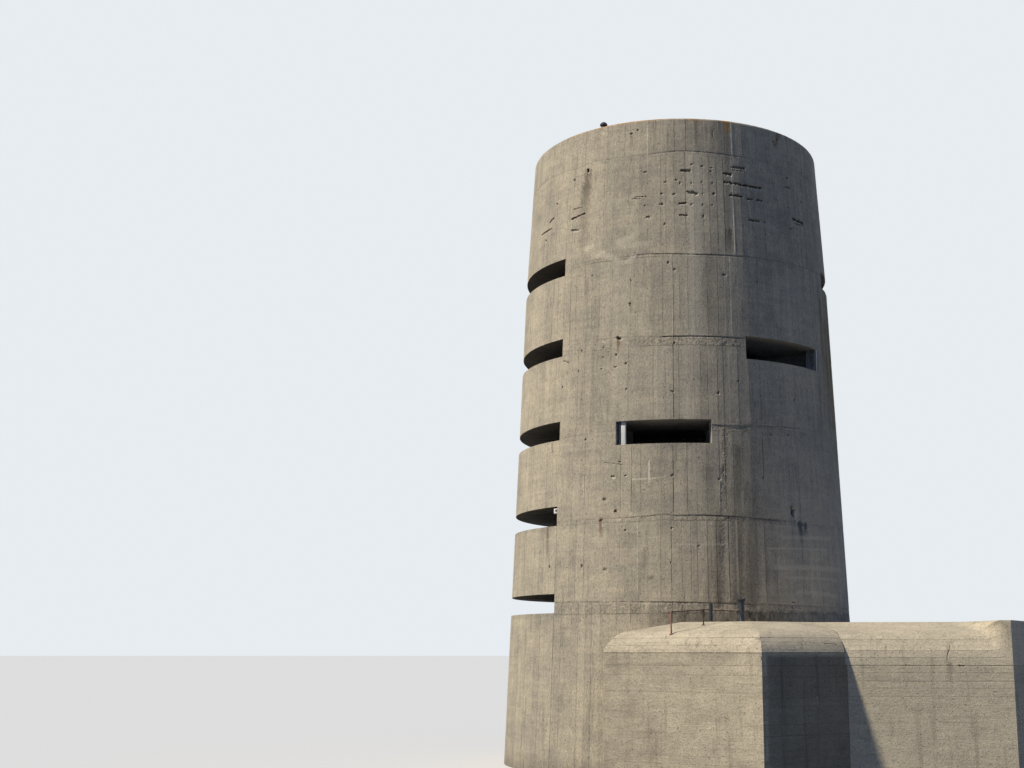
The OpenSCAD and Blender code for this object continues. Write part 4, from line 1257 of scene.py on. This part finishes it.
def level_boards(known, low, high, seed):
    """Boards that lie along a wall, one above another; their joints show from end to end."""
    luck = np.random.default_rng(seed)
    joints = [(low, 0.3, *endless)]
    for at, strength in sorted(known) + [(high, 0.4)]:
        last = joints[-1][0]
        count = max(1, round((at - last) / level_width))
        for n in range(1, count):
            joints.append((last + (at - last) * (n + luck.uniform(-0.15, 0.15)) / count,
                           luck.choice([0.05, 0.08, 0.12, 0.2, -0.08]), *endless))
        joints.append((at, strength, *endless))
    return Boards(joints, level_groove, luck)


bunker_concrete = cast_concrete("bunker_concrete", (0.60, 0.515, 0.375), (0.35, 0.30, 0.222),
                                (0.15, 0.15, 1.0), 0.06, 0.6)
# The wing's concrete is a lighter copy of the bunker's: painted light, so that its face looks well lit.
painted_light_wing_concrete = cast_concrete("painted_light_wing_concrete", (0.74, 0.635, 0.46), (0.49, 0.42, 0.31),
                              (0.15, 0.15, 1.0), 0.06, 0.6)


def parted(mesh, planes, drop=None):
    """Cuts a mesh by upright planes, each a point, a direction and a point on the side that stays, and
    takes out the faces that drop picks."""
    work = bmesh.new()
    work.from_mesh(mesh)
    for spot, way, kept in planes:
        if (kept - spot) @ way < 0:
            way = -way
        bmesh.ops.bisect_plane(work, geom=work.verts[:] + work.edges[:] + work.faces[:], dist=1e-5,
                               plane_co=(*spot, 0), plane_no=(*way, 0), clear_inner=True)
    if drop is not None:
        bmesh.ops.delete(work, geom=[face for face in work.faces if drop(face)], context="FACES")
    work.to_mesh(mesh)
    work.free()
    return mesh


def mitre(face, other):
    """The plane in which two faces' depths are the same, and a point on the first one's side."""
    way = face.out - other.out
    return way / (way @ way) * (face.reach - other.reach), way, face.start + face.run * face.length / 2


def print_of(boards, across, along_it, marks):
    """Sink and the carried values of a face that level boards and marks have printed."""
    joint = boards.joint_at(across, along_it)
    sunk, dark, pale, rust, lichen = marks_on(along_it, across, marks)
    sink = (0.0012 * boards.board_at(across, 0) + np.where(joint > 0, 0.010 * joint, 0.0) + sunk
            + 0.003 * grit(along_it * 1.3, across * 5, 4))
    return sink, {"tone": 2 * boards.board_at(across, 1) - 1, "line": joint, "dark": dark, "pale": pale,
                  "rust": rust, "lichen": lichen}


def shade_and_damp(marks, along_it, z):
    """How dark a wall is made: the right-hand one with painted shade and damp below its lip, away from its
    front corner, and the wing's a little, up to its top joint."""
    if marks == "wing":
        return 0.09 * (z < wall_top + 0.001)
    if marks != "right":
        return np.zeros_like(z)
    # Painted shade on the right-hand wall below its lip, with damp.
    shade_and_damp_top = 3.225
    return (0.44 * ramp(along_it, 0.10, 0.10) * ((shade_and_damp_top - z) / 0.08).clip(0.4, 1)
            * ramp(z, shade_and_damp_top, -0.03) * (0.8 + 0.4 * grit(along_it * 1.7, z * 1.1, 14)))


def cast_flat(name, us, vs, gaps, place, marks, carries):
    """A flat wall or an eave, cast as one mesh, worked finely where it has marks."""
    return cast(name, us, np.unique(np.round(vs, 5)), [gaps], place,
                lambda *cells: worked_near(*cells, marks), carries, metre=1.0, fine=0.02)


def bunker_wall(name, face, neighbours, marks, seed, openings):
    """A straight bunker wall, mitred against its neighbours."""
    boards = level_boards(level_lines[marks], 0.0, wall_top, seed)
    here = bunker_marks[marks]
    spare, inset = 0.8, 0.012
    us = np.linspace(-spare, face.length + spare, round((face.length + 2 * spare) / 0.3))
    for left, right, *_ in openings:
        us = np.sort(np.concatenate([us[np.abs(us - left) > 0.05], (left, right)]))
        us = us[np.concatenate([[True], np.diff(us) > 0.04])]

    def place(u, v, k):
        sink, _ = print_of(boards, v, u, here)
        return face.point(u, np.where(k == 0, inset + sink, wall_t), v)

    def carries(u, v, k):
        _, carried = print_of(boards, v, u, here)
        foot = 0.5 * ramp(v, 0.45, -0.45)
        carried["dark"] = np.maximum.reduce([carried["dark"], foot, shade_and_damp(marks, u, v)])
        return {label: values * (k == 0) for label, values in carried.items()}

    vs = boards.lines(step=0.12) + [head for *_, head in openings]
    mesh = cast_flat(name, us, vs, openings, place, here, carries)
    parted(mesh, [mitre(face, other) for other in neighbours])
    return mesh


rear_opening = (rear_corner[0] - rear_door[1], rear_corner[0] - rear_door[0], -1.0, rear_door[2])
walls = (("bunker_return", return_face, "plain"), ("bunker_left", left_face, "plain"),
         ("bunker_right", right_face, "right"), ("wing_front", wing_face, "wing"),
         ("wing_end", end_face, "plain"), ("wing_side", side_face, "plain"),
         ("wing_rear", rear_face, "plain"))
for n, (name, face, marks) in enumerate(walls):
    beside = [other for _, other, _ in (*walls[max(n - 1, 0):n], *walls[n + 1:n + 2])]
    cast_name = f"{name}_casting"
    wall = bunker_wall(cast_name, face, beside, marks, 81 + n, [rear_opening] if face is rear_face else [])
    finish = painted_light_wing_concrete if marks == "wing" else bunker_concrete
    set_up(cast_name, wall, (finish, painted_light_room_concrete, finish), (f"{name}_wall",))

# Bunker roofs. Each is one thick slab with rounded eaves, formed on narrow
# boards bent round the edge. The two meet in a valley over the inner corner,
# and at its outer end the wing's front eave flares up into an upright pier.

# A roof ends inside the shaft's wall at this radius, and its sheets are made this far past its faces
drop_r, over = 4.5, 2.6
# The pier's outline, stop for stop beside the wing's eave: distance in from the wall's face, and height
pier_path = [(0.010, wall_top), (0.010, 3.15), (0.010, 3.38), (0.010, 3.58), (0.010, 3.74), (0.010, 3.87),
             (0.010, 3.97), (0.022, 4.044), (0.45, crest_z), (1.0, crest_z), (1.55, crest_z),
             (crest_in, crest_z)]


def flared(s, inward):
    """How far the wing's front has turned from its eave into the upright pier at its end."""
    share = ramp(s, wing_face.length - 0.50 - 0.404 * inward, 0.46)
    return share * share * (3 - 2 * share)


def bunker_roof(name, node, eaves, uprights, inside, rear, seed, reach_box, finish):
    """A roof: an eave along some sides, upright faces on others, the crest, and the ceiling under it. It
    ends at the valley, on whose one side the point inside lies, at the shaft, and in line with rear."""
    shell = bmesh.new()
    edge_inset, eave_groove = 0.012, 0.013

    def within(face, inset):
        """The upright plane a little in from a face, and a point that lies further in."""
        edge = face.start + face.run * face.length / 2 - face.out * inset
        return edge, -face.out, edge - face.out

    def taken(mesh, planes):
        """Cuts a sheet by its planes, the valley and the shaft, and adds the rest of it to the shell."""
        def beyond(cell):
            middle = cell.calc_center_median()
            return math.hypot(middle.x, middle.y) < drop_r or middle.y > rear

        valley = (inner_corner - 0.12 * valley_way, valley_way, inside)
        parted(mesh, [*planes, valley], beyond)
        shell.from_mesh(mesh)
        bpy.data.meshes.remove(mesh)

    def front_of(mesh):
        """A cast sheet without its back and its ends."""
        return parted(mesh, (), lambda cell: cell.material_index)

    for n, (face, key) in enumerate(eaves):
        marks = bunker_marks[key]
        stops = outlined(face.eave)
        boards = Boards([(at, stop[2], *endless) for at, stop in zip(stops, face.eave)], eave_groove,
                        np.random.default_rng(seed + n))
        has_pier = face is wing_face
        us = np.arange(-over, face.length + over, 0.3)
        if has_pier:
            pier_from = face.length - 1.7
            us = np.concatenate([us[us < pier_from], np.arange(pier_from, face.length + over, 0.07)])

        def path(v, outline, column):
            return np.interp(v, stops, [stop[column] for stop in outline])

        def place(u, v, k):
            sink, _ = print_of(boards, v, u, marks)
            inward, z = path(v, face.eave, 0), path(v, face.eave, 1)
            if has_pier:
                share = flared(u, inward)
                inward = inward + share * (path(v, pier_path, 0) - inward)
                z = z + share * (path(v, pier_path, 1) - z)
                sink = sink * (1 - 0.7 * share)
            lean = np.interp(z, [3.3, 4.0], [0, 1]) * (inward > 0.03)
            sink = sink * np.interp(v, [stops[-1] - 0.15, stops[-1]], [1, 0])
            return face.point(u, inward + sink * (1 - lean), z - sink * lean)

        def carries(u, v, k):
            _, carried = print_of(boards, v, u, marks)
            z = path(v, face.eave, 1)
            # The wing's eave is darker from just above its foot up to the crest.
            eave_top_dark = 0.20 * ramp(z, 3.38, 0.12) * (key == "wing")
            carried["dark"] = np.maximum.reduce([carried["dark"], shade_and_damp(key, u, z), eave_top_dark])
            if has_pier:
                carried["line"] = carried["line"] * (1 - 0.85 * flared(u, path(v, face.eave, 0)))
            return carried

        vs = [v for v in boards.lines(step=0.1) if stops[0] <= v <= stops[-1]]
        mesh = cast_flat(f"{name}_{n}", us, vs, (), place, marks, carries)
        taken(front_of(mesh), [mitre(face, other) for other, _ in eaves if other is not face]
              + [within(other, edge_inset) for other in uprights])

    for n, face in enumerate(uprights):
        boards = level_boards((), wall_top, crest_z, seed + 5 + n)
        marks = bunker_marks["plain"]

        def place(u, v, k):
            sink, _ = print_of(boards, v, u, marks)
            top = np.full_like(u, crest_z)
            if face is side_face:
                above_lip = rear_face.eave[2:]
                top = np.interp(face.length - u, [stop[0] for stop in above_lip],
                                [stop[1] for stop in above_lip])
            z = wall_top + (v - wall_top) * (top - wall_top) / (crest_z - wall_top)
            sink = sink * np.interp(v, [crest_z - 0.1, crest_z], [1, 0])
            return face.point(u, edge_inset + sink, z)

        mesh = cast_flat(f"{name}_upright_{n}", np.arange(-0.3, face.length + 0.31, 0.06),
                         boards.lines(step=0.12), (), place, marks,
                         lambda u, v, k: print_of(boards, v, u, marks)[1])
        taken(front_of(mesh), [mitre(face, other) for other in uprights if other is not face]
              + [within(other, 0.010) for other, _ in eaves])

    def level(z, eave_inset, upright_inset, slot):
        """A level sheet inside all the sides, at a height. The first finish faces up, the second down."""
        x0, x1, y0, y1 = reach_box
        xs, ys = np.arange(x0, x1, 0.3), np.arange(y0, y1, 0.3)
        flat = bpy.data.meshes.new("sheet")
        rows = len(ys)
        quads = [(i * rows + j, (i + 1) * rows + j, (i + 1) * rows + j + 1, i * rows + j + 1)
                 for i in range(len(xs) - 1) for j in range(rows - 1)]
        if slot:
            quads = [quad[::-1] for quad in quads]
        flat.from_pydata([(x, y, z) for x in xs for y in ys], [], quads)
        flat.polygons.foreach_set("material_index", [slot] * len(quads))
        taken(flat, [within(face, eave_inset) for face, _ in eaves]
              + [within(face, upright_inset) for face in uprights])

    level(crest_z, crest_in, edge_inset, 0)
    level(wall_top + 0.0005, 0.5, 0.5, 1)
    bmesh.ops.remove_doubles(shell, verts=shell.verts[:], dist=0.0008)
    mesh = bpy.data.meshes.new(name)
    shell.to_mesh(mesh)
    shell.free()
    mesh.polygons.foreach_set("use_smooth", [True] * len(mesh.polygons))
    mesh.set_sharp_from_angle(angle=math.radians(14))
    return set_up(name, mesh, (finish, painted_light_room_concrete, finish), (node,))


valley_way = right_face.out - wing_face.out
bunker_roof("bunker_roof_casting", "bunker_roof",
            ((return_face, "plain"), (left_face, "plain"), (right_face, "right")), (),
            front_corner - 2 * right_face.out, -3.2, 91, (-2.6, 5.2, -9.8, -3.0), bunker_concrete)
bunker_roof("wing_roof_casting", "wing_roof", ((wing_face, "wing"), (rear_face, "plain")),
            (end_face, side_face), wing_corner - 2 * wing_face.out, -3.0, 95, (2.2, 9.4, -9.0, -3.0),
            painted_light_wing_concrete)

# Vent pipes. Two iron pipes rise through the bunker's roof in front of the
# shaft, set in flanges bolted down; the thicker one carries a flared cowl
# with a bent cross plate and its wing bolt.
vent_iron = painted_steel("vent_iron", (0.012, 0.016, 0.028), (0.024, 0.030, 0.045), 0.32, 0.6)
roof_top = 4.05
vent_at = (0.47, -6.25, roof_top - 0.002)
metal_piece("vent_pipe_iron", [
    lathed([(0.088, 0), (0.088, 0.012), (0.084, 0.014), (0.060, 0.016), (0.055, 0.024), (0.050, 0.030),
            (0.050, 0.452), (0.0535, 0.455), (0.0535, 0.478), (0.051, 0.481), (0.045, 0.481),
            (0.042, 0.476), (0.042, 0.06)], vent_at, 32, 0.012),
    *bolts_round((*vent_at[:2], vent_at[2] + 0.012), 0.073, 4)], 0.0,
    vent_iron, ("vent_pipe",))

cowl_at = (1.28, -6.25, roof_top - 0.002)
top = cowl_at[2] + 0.592


def cowl_plate(u, v, w):
    """Place on the cowl's cross plate, which is bent down to the left."""
    bend = 0.10 * u + (0.9 * u * u if u < 0 else 0)
    return Vector((cowl_at[0] + u, cowl_at[1] + v, top - 0.012 + w + bend))


metal_piece("cowl_pipe_iron", [
    lathed([(0.112, 0), (0.112, 0.014), (0.108, 0.017), (0.086, 0.019), (0.080, 0.028), (0.075, 0.036),
            (0.075, 0.470), (0.079, 0.474), (0.079, 0.492), (0.075, 0.496), (0.078, 0.512),
            (0.106, 0.562), (0.113, 0.572), (0.113, 0.588), (0.110, 0.590), (0.100, 0.588),
            (0.070, 0.540), (0.062, 0.520)], cowl_at, 36),
    *bolts_round((*cowl_at[:2], cowl_at[2] + 0.014), 0.094, 6),
    plate(-0.112, 0.0, -0.050, 0.050, 0.0, 0.007, cowl_plate),
    plate(0.0, 0.112, -0.050, 0.050, 0.0, 0.007, cowl_plate),
    lathed([(0.020, -0.004), (0.026, 0.0), (0.026, 0.018), (0.020, 0.024), (0.008, 0.026)],
           (cowl_at[0] + 0.085, cowl_at[1] - 0.02, top), 12),
    lathed([(0.008, -0.004), (0.008, 0.030), (0.012, 0.032), (0.012, 0.040), (0.004, 0.044)],
           (cowl_at[0] - 0.012, cowl_at[1], top - 0.008), 10),
    lathed([(0.005, -0.004), (0.005, 0.022), (0.002, 0.025)],
           (cowl_at[0] - 0.07, cowl_at[1] + 0.03, top), 8),
    plate(0.070, 0.112, -0.010, 0.0, -0.022, 0.0, cowl_plate)], 0.0,
    vent_iron, ("cowl_pipe",))

# Guard rail. Thin round bar, rusted through and through, runs from a post at
# the eave by a second post to the cowled pipe, and has sagged between them.
def bar(path, radius, sides=10):
    """A round bar along a path of points."""
    def build(work):
        rings = []
        for n, spot in enumerate(path):
            ahead = (Vector(path[min(n + 1, len(path) - 1)]) - Vector(path[max(n - 1, 0)])).normalized()
            steady = Vector((0.12, 0.03, 1.0)) if abs(ahead.z) < 0.9 else Vector((1, 0, 0))
            side = ahead.cross(steady).normalized()
            up = side.cross(ahead)
            swell = radius * (1 + 0.10 * math.sin(7.3 * n) + 0.05 * math.sin(3.1 * n + 1))
            rings.append([work.verts.new(Vector(spot) + swell * (side * aside + up * upward))
                          for aside, upward in circle(sides)])
        skinned(work, rings, (rings[0], rings[-1]))
    return build


def between(a, b, count, sag, sway):
    """Points from one end to the other, with a sag and a slight sway."""
    a, b = Vector(a), Vector(b)
    spots = []
    for n in range(count + 1):
        t = n / count
        spot = a.lerp(b, t)
        spot.z -= sag * 4 * t * (1 - t)
        spot += sway * Vector((math.sin(9 * t), math.cos(11 * t) - 1, 0.6 * math.sin(13 * t)))
        spots.append(spot)
    return spots


rail_iron = painted_steel("rail_iron", (0.060, 0.036, 0.028), (0.045, 0.030, 0.024), 0.75, 0.75)
post_paint = painted_steel("post_paint", (0.30, 0.15, 0.12), (0.20, 0.10, 0.075), 0.55, 0.7)
first, second = (-0.66, -7.90), (0.206, -7.10)
first_z, second_z, last_z = 4.262, 4.343, 4.330
first_foot, second_foot = 3.726, 3.958
cowl_touch = (cowl_at[0] - 0.073 * 0.78, cowl_at[1] - 0.073 * 0.62)
metal_piece("guard_rail_bar", [
    bar(between((*first, first_z), (*second, second_z), 16, 0.004, 0.004), 0.0125),
    bar(between((*second, second_z), (*cowl_touch, last_z), 18, 0.006, 0.005), 0.0125),
    bar(between((*second, second_foot - 0.06), (second[0] + 0.004, second[1], second_z + 0.016), 9,
                0.0, 0.003), 0.016),
    lathed([(0.021, -0.014), (0.024, -0.010), (0.024, 0.010), (0.021, 0.014)], (*second, second_z), 12),
    lathed([(0.050, -0.03), (0.050, 0.002), (0.044, 0.006)], (*second, second_foot), 16)], 0.0,
    rail_iron, ("guard_rail",))
metal_piece("guard_rail_post", [
    bar(between((*first, first_foot - 0.08), (first[0] - 0.006, first[1], first_z + 0.014), 10, 0.0, 0.003),
        0.0205, 12),
    lathed([(0.026, -0.016), (0.030, -0.012), (0.030, 0.012), (0.024, 0.018), (0.010, 0.022)],
           (*first, first_z), 14),
    lathed([(0.050, -0.05), (0.050, -0.006), (0.040, 0.004)], (*first, first_foot), 16)], 0.0,
    post_paint, ())

# Floor and light. The tower stands on a plain pale floor before a pale
# backdrop, under one broad lamp from the left and a soft even fill.
ground = bpy.data.meshes.new("pale_floor")
floor_half, floor_z = 900, -0.004
corners = [(x * floor_half, y * floor_half, floor_z) for x, y in ((-1, -1), (1, -1), (1, 1), (-1, 1))]
ground.from_pydata(corners, [], [(0, 1, 2, 3)])
floor = bpy.data.objects.new("pale_floor", ground)
scene.collection.objects.link(floor)


def backdrop(wire, lights, shows):
    """A colour that lights the tower as one thing, and shows behind it and in reflections as another."""
    shown = 0.0
    for ray in ("Is Camera Ray", "Is Glossy Ray", "Is Transmission Ray"):
        shown = wire.node("ShaderNodeLightPath", out=ray) + shown
    return shown.held().blend(lights, shows)


floor_finish, wire = new_finish("pale_floor")
finish_off(wire, backdrop(wire, (0.075, 0.082, 0.094, 1), (0.66, 0.66, 0.65, 1)), 0.9, 0.0)
ground.materials.append(floor_finish)

lamp = bpy.data.lights.new("broad_lamp", "SUN")
lamp.energy = 4.4
lamp.angle = math.radians(2.5)
lamp.color = (1.0, 0.93, 0.80)
sun = bpy.data.objects.new("broad_lamp", lamp)
sun_azimuth, sun_height = math.radians(-69.6), math.radians(44)
toward_sun = Vector((math.sin(sun_azimuth) * math.cos(sun_height),
                     -math.cos(sun_azimuth) * math.cos(sun_height), math.sin(sun_height)))
sun.rotation_euler = toward_sun.to_track_quat("Z", "Y").to_euler()
scene.collection.objects.link(sun)

world = bpy.data.worlds.new("studio")
scene.world = world
world.use_nodes = True
world.node_tree.nodes.clear()
air = Wire(world.node_tree)
sky = backdrop(air, (0.132, 0.198, 0.352, 1), (0.80, 0.84, 0.88, 1))
air.node("ShaderNodeOutputWorld", {}, {"Surface": air.node("ShaderNodeBackground", {}, {"Color": sky})})

scene.view_settings.view_transform = "Standard"
